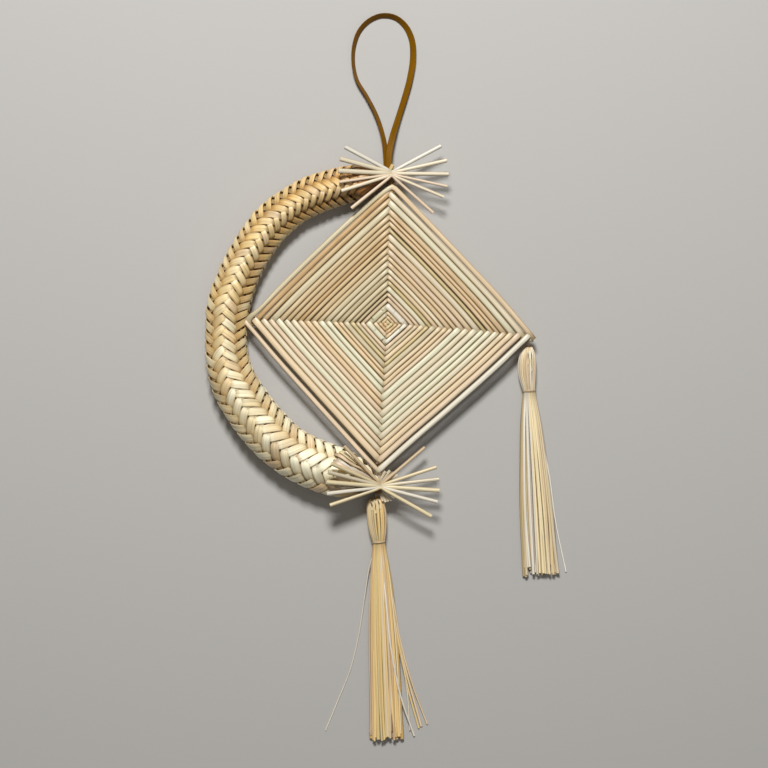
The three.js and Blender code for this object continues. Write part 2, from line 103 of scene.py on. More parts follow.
class Wire:
    """The output of a node, on which Python's operators add further nodes."""

    def __init__(self, bench: "NodeBench", socket: bpy.types.NodeSocket) -> None:
        """Keeps the bench that adds nodes and the socket that this wire comes from."""
        self.bench = bench
        self.socket = socket

    @property
    def is_vector(self) -> bool:
        """Whether the wire carries a vector or a colour."""
        return self.socket.type in {"VECTOR", "RGBA"}

    def _operate(self, operation: str, other: "Operand", flipped: bool = False) -> "Wire":
        """Adds the node for one operator.

        Args:
            operation: the operation's name on the maths node.
            other: the second operand.
            flipped: whether the other operand stands first.

        Returns:
            The result's wire.
        """
        first, second = (other, self) if flipped else (self, other)
        settings = {"operation": operation}
        other_is_vector = getattr(other, "is_vector", isinstance(other, (Vector, tuple)))
        if not self.is_vector and not other_is_vector:
            return self.bench.add("ShaderNodeMath", settings, {0: first, 1: second})
        if operation == "MULTIPLY" and self.is_vector != other_is_vector:
            settings = {"operation": "SCALE"}
            vector, scale = (self, other) if self.is_vector else (other, self)
            return self.bench.add("ShaderNodeVectorMath", settings, {0: vector, "Scale": scale})
        return self.bench.add("ShaderNodeVectorMath", settings, {0: first, 1: second})

    def __add__(self, other: "Operand") -> "Wire":
        """Returns the sum."""
        return self._operate("ADD", other)

    def __radd__(self, other: "Operand") -> "Wire":
        """Returns the sum, with the other operand first."""
        return self._operate("ADD", other, flipped=True)

    def __sub__(self, other: "Operand") -> "Wire":
        """Returns the difference."""
        return self._operate("SUBTRACT", other)

    def __rsub__(self, other: "Operand") -> "Wire":
        """Returns the difference, with the other operand first."""
        return self._operate("SUBTRACT", other, flipped=True)

    def __mul__(self, other: "Operand") -> "Wire":
        """Returns the product."""
        return self._operate("MULTIPLY", other)

    def __rmul__(self, other: "Operand") -> "Wire":
        """Returns the product, with the other operand first."""
        return self._operate("MULTIPLY", other, flipped=True)

    def __truediv__(self, other: "Operand") -> "Wire":
        """Returns the quotient."""
        return self._operate("DIVIDE", other)

    def __rtruediv__(self, other: "Operand") -> "Wire":
        """Returns the quotient, with the other operand first."""
        return self._operate("DIVIDE", other, flipped=True)

    def __pow__(self, other: "Operand") -> "Wire":
        """Returns the power."""
        return self._operate("POWER", other)

    def __mod__(self, other: "Operand") -> "Wire":
        """Returns the remainder, which is never negative."""
        return self._operate("FLOORED_MODULO", other)

    def apply(self, operation: str, other: "Operand" = 0.0) -> "Wire":
        """Returns a function of the wire, by its name on the maths node."""
        return self._operate(operation, other)

    def clamped(self, low: float = 0.0, high: float = 1.0) -> "Wire":
        """Returns the value kept between two bounds."""
        return self.apply("MAXIMUM", low).apply("MINIMUM", high)

    def cross(self, other: "Wire") -> "Wire":
        """Returns the cross product."""
        return self._operate("CROSS_PRODUCT", other)

    def unit(self) -> "Wire":
        """Returns the vector at length one."""
        return self.bench.add("ShaderNodeVectorMath", {"operation": "NORMALIZE"}, {0: self})


Operand = Wire | float | Vector | Rgb


class NodeBench:
    """Adds nodes to one tree and joins them up."""

    def __init__(self, tree: bpy.types.NodeTree) -> None:
        """Keeps the tree that the nodes go into."""
        self.tree = tree

    def place(
        self,
        kind: str,
        settings: dict[str, object] | None = None,
        sockets: dict[int | str, object] | None = None,
    ) -> bpy.types.Node:
        """Adds one node.

        Args:
            kind: the node's type.
            settings: the node's own properties, which are set first.
            sockets: values or wires for its inputs, by name or number.

        Returns:
            The node.
        """
        node = self.tree.nodes.new(kind)
        for name, value in (settings or {}).items():
            setattr(node, name, value)
        self.feed(node, sockets or {})
        return node

    def feed(self, node: bpy.types.Node, sockets: dict[int | str, object]) -> None:
        """Gives the inputs of a node their values.

        Args:
            node: the node.
            sockets: values or wires for its inputs, by name or number.
        """
        for key, value in sockets.items():
            if isinstance(value, Wire):
                self.tree.links.new(value.socket, node.inputs[key])
            else:
                node.inputs[key].default_value = value

    def add(
        self,
        kind: str,
        settings: dict[str, object] | None = None,
        sockets: dict[int | str, object] | None = None,
        output: int | str = 0,
    ) -> Wire:
        """Adds one node, as `place` does, and returns the wire of one of its outputs."""
        return Wire(self, self.place(kind, settings, sockets).outputs[output])

    def mix(self, factor: Operand, first: Operand, second: Operand) -> Wire:
        """Returns a colour between two colours."""
        sockets = {0: factor, 6: self._colour(first), 7: self._colour(second)}
        return self.add("ShaderNodeMix", {"data_type": "RGBA"}, sockets, output=2)

    def joined(self, x: Operand, y: Operand, z: Operand) -> Wire:
        """Returns a vector made from three values."""
        return self.add("ShaderNodeCombineXYZ", None, {0: x, 1: y, 2: z})

    def noise(self, place: Wire, scale: float, detail: float = 2.0) -> Wire:
        """Returns smooth noise, about one half on average."""
        sockets = {"Vector": place, "Scale": scale, "Detail": detail}
        return self.add("ShaderNodeTexNoise", None, sockets)

    def column(self, name: str, output: str = "Fac") -> Wire:
        """Returns an attribute of the surface, as a material reads it."""
        settings = {"attribute_type": "GEOMETRY", "attribute_name": name}
        return self.add("ShaderNodeAttribute", settings, output=output)

    def named(self, name: str, kind: str) -> Wire:
        """Returns an attribute of the points, as a geometry tree reads it."""
        return self.add("GeometryNodeInputNamedAttribute", {"data_type": kind}, {"Name": name})

    def store(self, geometry: Wire, name: str, kind: str, value: Wire) -> Wire:
        """Returns the geometry with an attribute stored on its points."""
        sockets = {"Geometry": geometry, "Name": name, "Value": value}
        return self.add("GeometryNodeStoreNamedAttribute", {"data_type": kind}, sockets)

    def _colour(self, value: Operand) -> object:
        """Returns a colour with its fourth number, or the wire unchanged."""
        return value if isinstance(value, Wire) else (*value, 1.0)


# ---- colours


def linear(red: int, green: int, blue: int) -> Rgb:
    """Turns a screen colour into the linear colour that a shader takes.

    Args:
        red: the red part, from 0 to 255.
        green: the green part.
        blue: the blue part.

    Returns:
        The three parts, from 0 to 1.
    """
    parts = [part / 255 for part in (red, green, blue)]
    return tuple(
        part / 12.92 if part <= 0.04045 else ((part + 0.055) / 1.055) ** 2.4 for part in parts
    )


class Tone(Enum):
    """The shades of straw in the ornament, by the letter that names them in a list."""

    WHITE = "w"
    GREEN = "g"
    COOL = "h"
    CREAM = "c"
    PINK = "p"
    TAN = "t"
    DEEP = "o"
    OLIVE = "y"
    GREY = "k"
    BROWN = "b"
    GOLD = "d"
    HONEY = "n"
    BUTTER = "u"
    RUST = "r"

    @property
    def colour(self) -> Rgb:
        """The shade as a linear colour."""
        return TONE_COLOURS[self]


TONE_COLOURS = {
    Tone.WHITE: linear(233, 226, 210),
    Tone.GREEN: linear(225, 219, 192),
    Tone.COOL: linear(228, 215, 187),
    Tone.CREAM: linear(228, 206, 172),
    Tone.PINK: linear(226, 203, 174),
    Tone.TAN: linear(225, 199, 161),
    Tone.DEEP: linear(213, 180, 136),
    Tone.OLIVE: linear(213, 194, 147),
    Tone.GREY: linear(208, 192, 160),
    Tone.BROWN: linear(140, 108, 68),
    Tone.GOLD: linear(236, 204, 140),
    Tone.HONEY: linear(222, 182, 112),
    Tone.BUTTER: linear(235, 218, 176),
    Tone.RUST: linear(176, 116, 58),
}


def varied(colour: Rgb, rng: random.Random, spread: float = 0.06) -> Rgb:
    """Makes a colour a little lighter or darker, and a little warmer or cooler.

    Args:
        colour: the colour.
        rng: the source of variation.
        spread: how far it may go, as a share.

    Returns:
        The changed colour.
    """
    light = 1 + rng.uniform(-spread, spread)
    warm = rng.uniform(-spread, spread) / 2
    return (colour[0] * light * (1 + warm), colour[1] * light, colour[2] * light * (1 - warm))


# ---- strands


def smooth_rows(rows: Sequence[Row], count: int) -> np.ndarray:
    """Draws one smooth line through rows of numbers.

    Args:
        rows: rows whose first three numbers are a point.
        count: how many rows to return, evenly spaced.

    Returns:
        The rows along the line, with the further numbers read along it too.
    """
    table = np.asarray(rows, float)
    lengths = np.linalg.norm(np.diff(table[:, :3], axis=0), axis=1)
    knots = np.concatenate(([0.0], np.cumsum(lengths)))
    slopes = np.gradient(table, knots, axis=0)
    places = np.linspace(0.0, knots[-1], count)
    span = np.clip(np.searchsorted(knots, places, side="right") - 1, 0, len(knots) - 2)
    width = (knots[span + 1] - knots[span])[:, None]
    share = (places[:, None] - knots[span][:, None]) / width
    square, cube = share**2, share**3
    return (
        (2 * cube - 3 * square + 1) * table[span]
        + (cube - 2 * square + share) * width * slopes[span]
        + (3 * square - 2 * cube) * table[span + 1]
        + (cube - square) * width * slopes[span + 1]
    )


@dataclass
class Strand:
    """One straw, strip or thread: its middle line and its section along it, in millimetres.

    Each row is x, y, z, half width, half height and its painted shade, from 0 in the open to 1
    right under its neighbours.
    """

    rows: np.ndarray
    tint: Rgb
    seed: float
    facing: np.ndarray = field(default_factory=lambda: UP)
    stained: float = 0.2  # how much of it has brown streaks, from 0 to 1

    @classmethod
    def through(
        cls,
        rows: Sequence[Row],
        count: int,
        tint: Rgb,
        seed: float,
        facing: Sequence[float] | np.ndarray = (0.0, 0.0, 1.0),
    ) -> "Strand":
        """Makes a strand along the smooth line through a few rows."""
        return cls(smooth_rows(rows, count), tint, seed, np.asarray(facing, float))


@dataclass(frozen=True)
class Section:
    """The shape of the strands' section."""

    sides: int
    camber: float = 0.0  # how far the edges curve down, against the half width
    squareness: float = 0.0  # from an oval at 0 towards a rectangle at 1
    unevenness: float = 0.0  # millimetres by which the surface wavers

    def values(self) -> dict[str, float]:
        """Returns the values of a tree's inputs, by name."""
        return {name.capitalize(): value for name, value in vars(self).items()}


class GrowthTree:
    """A Geometry Nodes tree that grows a finished mesh from bare lines."""

    name: str
    whole_inputs: tuple[str, ...] = ("Sides",)
    inputs: tuple[str, ...] = ("Camber", "Squareness", "Unevenness")

    def __init__(self) -> None:
        """Makes the tree with its named inputs and its nodes."""
        self.tree = bpy.data.node_groups.new(self.name, "GeometryNodeTree")
        self.identifiers: dict[str, str] = {}
        self._add_socket("Lines", "Geometry")
        for name in self.whole_inputs:
            self._add_socket(name, "Int")
        for name in self.inputs:
            self._add_socket(name, "Float")
        self._add_socket("Finish", "Material")
        self._add_socket("Mesh", "Geometry", way="OUTPUT")
        self._build(NodeBench(self.tree))

    def _add_socket(self, name: str, kind: str, way: str = "INPUT") -> None:
        """Gives the tree a named socket and keeps the socket's identifier."""
        socket = self.tree.interface.new_socket(name, in_out=way, socket_type=f"NodeSocket{kind}")
        self.identifiers[name] = socket.identifier

    def _build(self, bench: NodeBench) -> None:
        """Lays out the tree, which ends in real geometry with its finish.

        Args:
            bench: the bench of the tree.
        """
        start = bench.place("NodeGroupInput")
        given = {socket.name: Wire(bench, socket) for socket in start.outputs}
        mesh = bench.add("GeometryNodeRealizeInstances", None, {0: self._grow(bench, given)})
        sockets = {"Geometry": mesh, "Material": given["Finish"]}
        finished = bench.add("GeometryNodeSetMaterial", None, sockets)
        bench.place("NodeGroupOutput", None, {0: finished})

    def _grow(self, bench: NodeBench, given: dict[str, Wire]) -> Wire:
        """Returns the wire of the mesh, made by further nodes from the tree's inputs."""
        raise NotImplementedError

    def run(
        self,
        name: str,
        lines: bpy.types.Mesh,
        finish: bpy.types.Material,
        values: dict[str, float],
    ) -> bpy.types.Object:
        """Runs the tree over a mesh of lines, which is used up.

        Args:
            name: the object's name.
            lines: the mesh that the tree starts from.
            finish: the material that the tree sets.
            values: values for the tree's inputs, by name.

        Returns:
            The object, with a plain mesh and no modifier.
        """
        carrier = bpy.data.objects.new(f"{name}_lines", lines)
        bpy.context.scene.collection.objects.link(carrier)
        modifier = carrier.modifiers.new("growth", "NODES")
        modifier.node_group = self.tree
        modifier[self.identifiers["Finish"]] = finish
        for key, value in values.items():
            modifier[self.identifiers[key]] = value
        graph = bpy.context.evaluated_depsgraph_get()
        mesh = bpy.data.meshes.new_from_object(
            carrier.evaluated_get(graph), preserve_all_data_layers=True, depsgraph=graph
        )
        bpy.data.objects.remove(carrier)
        bpy.data.meshes.remove(lines)
        mesh.name = name
        for spare in ("facing", "heading", "centre", "turn", "half_width", "half_height"):
            if spare in mesh.attributes:
                mesh.attributes.remove(mesh.attributes[spare])
        # The skin, which is all quads, is smooth, and the caps at the ends are flat.
        sides = np.zeros(len(mesh.polygons), np.int32)
        mesh.polygons.foreach_get("loop_total", sides)
        mesh.polygons.foreach_set("use_smooth", sides == 4)
        mesh.update()
        piece = bpy.data.objects.new(name, mesh)
        bpy.context.scene.collection.objects.link(piece)
        return piece


class StrandMaker(GrowthTree):
    """Skins middle lines into strands."""

    name = "strands"

    def _grow(self, bench: NodeBench, given: dict[str, Wire]) -> Wire:
        """Returns the wire of the mesh, made from the lines as curves with a skin."""
        curves = bench.add("GeometryNodeMeshToCurve", None, {0: given["Lines"]})
        return skin(bench, curves, given)

    def make(
        self,
        name: str,
        strands: Sequence[Strand],
        finish: bpy.types.Material,
        section: Section,
    ) -> bpy.types.Object:
        """Makes one mesh object from strands with the same finish and kind of section."""
        return self.run(name, line_mesh(name, strands), finish, section.values())


def skin(bench: NodeBench, curves: Wire, given: dict[str, Wire]) -> Wire:
    """Adds the nodes that put a skin round curves.

    Args:
        bench: the bench of the tree.
        curves: curves whose points have facing, half_width and half_height.
        given: the tree's inputs by name: Sides, Camber, Squareness and Unevenness.

    Returns:
        The wire of the mesh, whose points know how far along and across the strand they are.
    """
    along = bench.add("GeometryNodeSplineParameter", output="Length")
    kept = {
        "centre": ("FLOAT_VECTOR", bench.add("GeometryNodeInputPosition")),
        "heading": ("FLOAT_VECTOR", bench.add("GeometryNodeInputTangent")),
        "along": ("FLOAT", along / MM),
    }
    for name, (kind, value) in kept.items():
        curves = bench.store(curves, name, kind, value)
    sockets = {"Resolution": given["Sides"], "Radius": MM}
    ring = bench.add("GeometryNodeCurvePrimitiveCircle", {"mode": "RADIUS"}, sockets)
    turn = bench.add("GeometryNodeInputIndex") / given["Sides"] * math.tau
    ring = bench.store(ring, "turn", "FLOAT", turn)
    sockets = {"Curve": curves, "Profile Curve": ring, "Fill Caps": True}
    mesh = bench.add("GeometryNodeCurveToMesh", None, sockets)
    turn = bench.named("turn", "FLOAT")
    heading = bench.named("heading", "FLOAT_VECTOR")
    facing = bench.named("facing", "FLOAT_VECTOR")
    sideways = facing.cross(heading).unit()
    upwards = heading.cross(sideways).unit()
    power = 1 - given["Squareness"] * 0.5
    cosine, sine = turn.apply("COSINE"), turn.apply("SINE")
    across = cosine.apply("SIGN") * cosine.apply("ABSOLUTE") ** power
    above = sine.apply("SIGN") * sine.apply("ABSOLUTE") ** power
    half_width = bench.named("half_width", "FLOAT")
    half_height = bench.named("half_height", "FLOAT")
    centre = bench.named("centre", "FLOAT_VECTOR")
    seed = bench.named("seed", "FLOAT")
    place = bench.joined(bench.named("along", "FLOAT") * 0.22, across * 0.8, seed)
    bump = (bench.noise(place, 1.0) - 0.5) * given["Unevenness"] * MM
    sag = across * across * given["Camber"] * half_width
    rise = above * half_height - sag + bump
    position = centre + sideways * (across * half_width + bump) + upwards * rise
    mesh = bench.add("GeometryNodeSetPosition", None, {"Geometry": mesh, "Position": position})
    return bench.store(mesh, "across", "FLOAT", across)


def line_mesh(name: str, strands: Sequence[Strand]) -> bpy.types.Mesh:
    """Makes a mesh of bare lines that carry their sections, tints and seeds.

    Args:
        name: the mesh's name.
        strands: the strands whose middle lines it holds.

    Returns:
        The mesh, in metres in the solid model's frame.
    """
    rows = np.concatenate([strand.rows for strand in strands])
    counts = [len(strand.rows) for strand in strands]
    firsts = np.setdiff1d(np.arange(len(rows)), np.cumsum(counts) - 1)
    edges = np.stack([firsts, firsts + 1], axis=1)
    mesh = bpy.data.meshes.new(name)
    mesh.vertices.add(len(rows))
    mesh.vertices.foreach_set("co", in_frame(rows[:, :3]).astype(np.float32).ravel())
    mesh.edges.add(len(edges))
    mesh.edges.foreach_set("vertices", edges.astype(np.int32).ravel())
    columns = {
        "facing": repeated(counts, [strand.facing for strand in strands], 3),
        "tint": repeated(counts, [strand.tint for strand in strands], 3),
        "seed": repeated(counts, [strand.seed for strand in strands]),
        "stained": repeated(counts, [strand.stained for strand in strands]),
        "half_width": rows[:, 3] * MM,
        "half_height": rows[:, 4] * MM,
        "tucked_shade": rows[:, 5],
    }
    for column, values in columns.items():
        write_column(mesh, column, values)
    return mesh


def repeated(counts: Sequence[int], values: Sequence[object], width: int = 0) -> np.ndarray:
    """Repeats each strand's value, or its vector of a width, for all of its points."""
    shapes = [(count, width) if width else (count,) for count in counts]
    return np.concatenate([np.broadcast_to(v, shape) for v, shape in zip(values, shapes)])


def write_column(mesh: bpy.types.Mesh, name: str, values: np.ndarray) -> None:
    """Writes one value or vector for each point of a mesh.

    Args:
        mesh: the mesh.
        name: the attribute's name.
        values: a row for each point.
    """
    kind, key = ("FLOAT", "value") if values.ndim == 1 else ("FLOAT_VECTOR", "vector")
    attribute = mesh.attributes.new(name, kind, "POINT")
    attribute.data.foreach_set(key, np.ascontiguousarray(values, np.float32).ravel())


def merged(name: str, parts: Sequence[bpy.types.Object]) -> bpy.types.Object:
    """Joins mesh objects into one.

    Args:
        name: the name of the result.
        parts: the objects, which are used up.

    Returns:
        The one object.
    """
    with bpy.context.temp_override(
        active_object=parts[0], object=parts[0], selected_editable_objects=list(parts)
    ):
        bpy.ops.object.join()
    parts[0].name = name
    parts[0].data.name = name
    return parts[0]


def settle(piece: bpy.types.Object, slot: str, *nodes: str) -> bpy.types.Object:
    """Puts a finished piece on the object's body.

    Args:
        piece: the piece.
        slot: not used.
        nodes: the solid nodes whose place it takes.

    Returns:
        The piece.
    """
    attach(piece, BODY)
    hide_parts(*nodes)
    return piece


# ---- finishes


def blank_material(name: str) -> tuple[bpy.types.Material, NodeBench, bpy.types.Node]:
    """Makes a material with nothing but its shader.

    Args:
        name: the material's name.

    Returns:
        The material, the bench of its tree and its shader.
    """
    material = bpy.data.materials.new(name)
    material.use_nodes = True
    tree = material.node_tree
    return material, NodeBench(tree), tree.nodes["Principled BSDF"]


@dataclass(frozen=True)
class StrawFinish:
    """Straw whose colour comes from each strand's tint, with grain along it and painted shade."""

    name: str
    grain: float = 0.14  # how much the fine grain lightens and darkens
    stain: float = 0.6  # how brown the streaks are
    shadow: float = 0.6  # how dark its painted shade is where it lies under its neighbours
    edge: float = 0.5  # how dark and warm the painted shade at its edges is
    roughness: float = 0.42
    coat: float = 0.2
    relief: float = 0.5  # strength of the grain's bump
    crease: float = 0.0  # how deep the lengthwise folds are and how dark their painted shade is
    deep: Rgb = (0.64, 0.48, 0.3)  # what its colour is times in real stains and in painted shade

    def make(self) -> bpy.types.Material:
        """Makes the material.

        Returns:
            The material, which reads the strands' tint, seed, stained, tucked_shade, along and
            across.
        """
        material, bench, shader = blank_material(self.name)
        along, across, seed = (bench.column(name) for name in ("along", "across", "seed"))
        tint = bench.column("tint", "Vector")
        tucked_shade = bench.column("tucked_shade").clamped()

        def grain(lengthwise: float, crosswise: float, seeds: float, *sizes: float) -> Wire:
            """Returns noise that stretches along the strand and is its own for each strand."""
            place = bench.joined(along * lengthwise, across * crosswise, seed * seeds)
            return bench.noise(place, *sizes)

        fibre, band = grain(0.05, 5.0, 37.3, 1.6, 3.0), grain(0.02, 1.5, 31.1, 1.3, 1.0)
        # Painted shade, darker and warmer towards the edges where a strand meets its neighbours.
        edge = (across * across) ** 2.0 * self.edge
        # A thin fold wanders along the strand: a groove with painted shade in it.
        drift = bench.noise(bench.joined(along * 0.03, seed * 53.1, 4.0), 1.0, 1.0) * 3.2 - 1.6
        fold = (1 - (across - drift).apply("ABSOLUTE") * 8.0).clamped()
        light = 1 + (fibre - 0.5) * (2 * self.grain) + (band - 0.5) * (3 * self.grain)
        # Grain, then painted shade at the edges, where the strand lies under others, and in its
        # fold.
        light = light * (1 - edge * 0.5) * (1 - tucked_shade * self.shadow) * (1 - fold * self.crease)
        stains = grain(0.09, 0.7, 23.7, 1.0) * 0.65 + grain(0.035, 4.0, 11.9, 1.0) * 0.35
        stains = ((stains - (0.78 - bench.column("stained") * 0.25)) * 7.0).clamped()
        # Real brown stains, plus the warm colour of the painted shade.
        stain_and_shade = (stains * self.stain + tucked_shade * 0.5 + edge).clamped()
        sockets = {
            "Strength": self.relief,
            "Distance": 0.05 * MM,
            "Height": fibre - fold * self.crease,
        }
        finish = {
            "Base Color": bench.mix(stain_and_shade, tint, tint * self.deep) * light,
            "Roughness": fibre * 0.2 + (self.roughness - 0.1),
            "Normal": bench.add("ShaderNodeBump", None, sockets),
            "Coat Weight": self.coat,
            "Coat Roughness": 0.28,
        }
        bench.feed(shader, finish)
        return material


@dataclass(frozen=True)
class SatinFinish:
    """Mustard satin ribbon: fine cross ribs, a woven edge and a soft sheen, in part painted sheen.
    """

    name: str
    colour: Rgb
    bright: Rgb

    def make(self) -> bpy.types.Material:
        """Makes the material.

        Returns:
            The material, which reads the ribbon's along and across.
        """
        material, bench, shader = blank_material(self.name)
        along, across = bench.column("along"), bench.column("across")
        thread = (across * 55.0).apply("SINE") * 0.5 + 0.5
        weft = (along * 14.0).apply("SINE") * 0.5 + 0.5
        cloud = bench.noise(bench.joined(along * 0.08, across * 0.6, 0.0), 1.0, 2.0)
        edge = across.apply("ABSOLUTE") ** 10.0
        # Painted sheen in cloudy patches, with the cross ribs lighter and the woven edge darker.
        share = (cloud * 0.7 + thread * 0.16 - edge * 0.3).clamped()
        height = thread * 0.6 + weft * 0.4
        sockets = {"Strength": 0.5, "Distance": 0.03 * MM, "Height": height}
        finish = {
            "Base Color": bench.mix(share, self.colour, self.bright),
            "Roughness": cloud * 0.15 + 0.36,
            "Normal": bench.add("ShaderNodeBump", None, sockets),
            "Anisotropic": 0.5,
            "Specular IOR Level": 0.1,
        }
        bench.feed(shader, finish)
        return material


# ---- floor, light and camera


@dataclass
class Studio:
    """A pale floor, soft light from beyond the ribbon, and a camera straight above."""

    view_middle: tuple[float, float] = (-1.2, 25.2)  # in the frame, millimetres
    view_width: float = 322.6
    view_height: float = SQUARE_Z  # the level that it is true at
    distance: float = 900.0
    sensor: float = 36.0

    def build(self) -> None:
        """Makes the camera, the lights and the floor."""
        self._camera()
        self._lights()
        self._floor()

    def _camera(self) -> None:
        """Makes the camera and hands it to the scene."""
        camera = bpy.data.cameras.new("camera")
        camera.sensor_width = self.sensor
        camera.lens = self.sensor * self.distance / self.view_width
        camera.clip_start, camera.clip_end = 0.01, 100
        holder = bpy.data.objects.new("camera", camera)
        height = (self.distance + self.view_height) * MM
        holder.location = (self.view_middle[0] * MM, self.view_middle[1] * MM, height)
        bpy.context.scene.collection.objects.link(holder)
        bpy.context.scene.camera = holder

    def _lights(self) -> None:
        """Makes a soft key light, a wide fill and a pale surrounding."""
        middle = Vector((0.0, 0.03, 0.0))
        for name, place, size, power in (
            ("key", (-0.06, 0.62, 0.78), 0.24, 9.7),
            ("fill", (0.3, -0.3, 1.0), 1.2, 1.2),
        ):
            light = bpy.data.lights.new(name, "AREA")
            light.shape = "DISK"
            light.size = size
            light.energy = power
            holder = bpy.data.objects.new(name, light)
            holder.location = place
            holder.rotation_mode = "QUATERNION"
            facing = middle - Vector(place)
            holder.rotation_quaternion = facing.to_track_quat("-Z", "Y")
            bpy.context.scene.collection.objects.link(holder)
        world = bpy.data.worlds.new("surrounding")
        world.use_nodes = True
        background = world.node_tree.nodes["Background"]
        background.inputs["Color"].default_value = (1.0, 0.96, 0.9, 1.0)
        background.inputs["Strength"].default_value = 0.1
        bpy.context.scene.world = world
        bpy.context.scene.view_settings.view_transform = "Standard"

    def _floor(self) -> None:
        """Makes the pale floor that the ornament lies on."""
        half = 3.0
        mesh = bpy.data.meshes.new("floor")
        corners = [(-half, -half, 0), (half, -half, 0), (half, half, 0), (-half, half, 0)]
        mesh.from_pydata(corners, [], [(0, 1, 2, 3)])
        floor = bpy.data.objects.new("floor", mesh)
        bpy.context.scene.collection.objects.link(floor)
        paint, bench, shader = blank_material("floor_paint")
        bench.feed(shader, {"Base Color": (0.5, 0.485, 0.46, 1.0), "Roughness": 0.9})
        mesh.materials.append(paint)


# ---- the ribbon loop


@dataclass
class RibbonLoop:
    """The satin ribbon that the ornament hangs by."""

    half: float = 1.5
    thickness: float = 0.36
    # The route from the fan, round the loop and back: x, y, z and the turn in degrees.
    route: tuple[Row, ...] = (
        (-0.3, 65.2, 3.3, 24), (-0.9, 72.0, 2.9, 38), (-1.7, 78.5, 2.3, 50),
        (-4.6, 88.6, 1.6, 56), (-9.0, 97.5, 1.5, 60), (-13.2, 104.6, 1.55, 62),
        (-14.7, 111.8, 1.55, 62), (-14.3, 118.9, 1.5, 58), (-12.2, 124.8, 1.5, 55),
        (-8.2, 129.2, 1.5, 55), (-2.7, 131.5, 1.5, 55), (2.8, 130.8, 1.5, 52),
        (7.2, 127.3, 1.4, 45), (10.0, 121.6, 1.2, 35), (10.6, 114.4, 1.1, 30),
        (9.4, 105.6, 1.1, 30), (6.9, 96.3, 1.2, 32), (4.2, 87.9, 1.5, 34),
        (2.0, 80.6, 2.9, 28), (0.5, 73.5, 4.0, 20), (0.1, 65.2, 4.4, 12),
    )
    stations: int = 90

    def build(self, maker: StrandMaker, satin: bpy.types.Material) -> bpy.types.Object:
        """Args:
            maker: what skins the route.
            satin: the ribbon's finish.

        Returns:
            The ribbon.
        """
        line = smooth_rows(self.route, self.stations)
        places = line[:, :3]
        facing = self._facing(places, np.radians(line[:, 3]))
        sizes = np.tile((self.half, self.thickness / 2, 0.0), (len(line), 1))
        strand = Strand(np.hstack([places, sizes]), (1.0, 1.0, 1.0), 0.5, facing)
        ribbon = maker.make("satin_ribbon", [strand], satin, Section(20, squareness=0.6))
        path = in_frame(places)
        2 * self.half * MM
        return settle(ribbon, "satin_ribbon", "ribbon_loop")

    def _facing(self, places: np.ndarray, turn: np.ndarray) -> np.ndarray:
        """Works out which way the ribbon's broad face looks.

        Args:
            places: the points of its route.
            turn: how far it is turned about its length at each, in radians.

        Returns:
            The direction at each point.
        """
        heading = unit(np.gradient(places, axis=0))
        level = unit(np.stack([heading[:, 1], -heading[:, 0], np.zeros(len(places))], axis=1))
        steep = np.cross(heading, level)
        sideways = level * np.cos(turn)[:, None] + steep * np.sin(turn)[:, None]
        facing = np.cross(heading, sideways)
        return facing * np.sign(facing[:, 2])[:, None]


# ---- the wound square


@dataclass(frozen=True)
class Corner:
    """One corner of the square: its arm's direction and length, and which straw lies over."""

    angle: float
    reach: float
    arriving_over: bool

    @property
    def arrow(self) -> np.ndarray:
        """The arm's direction."""
        turn = math.radians(self.angle)
        return np.array([math.cos(turn), math.sin(turn), 0.0])

    def turning_point(self, share: float) -> np.ndarray:
        """Returns the point over the arm at a share of its wound length."""
        return np.array([*SQUARE_CENTRE, 0.0]) + self.arrow * self.reach * share


@dataclass(frozen=True)
class Side:
    """One side of the square, from the outermost straw inwards.

    A capital letter is a shade with brown streaks. The holds are how far out the two ends are
    folded, as shares of how far out the bowed middle is. The painted light is what the shades
    are times: painted shade on the upper sides, most on the upper left, and painted light on
    the lower sides.
    The gaps are the air beside a straw, by the straw's number from the outside, where it is
    more than the usual.
    """

    shades: str
    holds: tuple[float, float]
    wash: Rgb
    widths: tuple[float, ...]
    gaps: tuple[tuple[int, float], ...] = ()

    @property
    def edges(self) -> np.ndarray:
        """How far from the centre the straws' edges are at mid-side."""
        return np.concatenate((np.cumsum(self.widths[::-1])[::-1], [0.0]))

    def gap(self, number: int, usual: float) -> float:
        """Returns the air on a straw's inner side."""
        return dict(self.gaps).get(number, usual)


@dataclass(frozen=True)
class Fold:
    """The end of a straw, where it is folded at its corner."""

    point: np.ndarray
    half: float  # half the straw's width there
    inwards: np.ndarray  # the direction along the straw
    room: float  # how much of its usual length the end may take


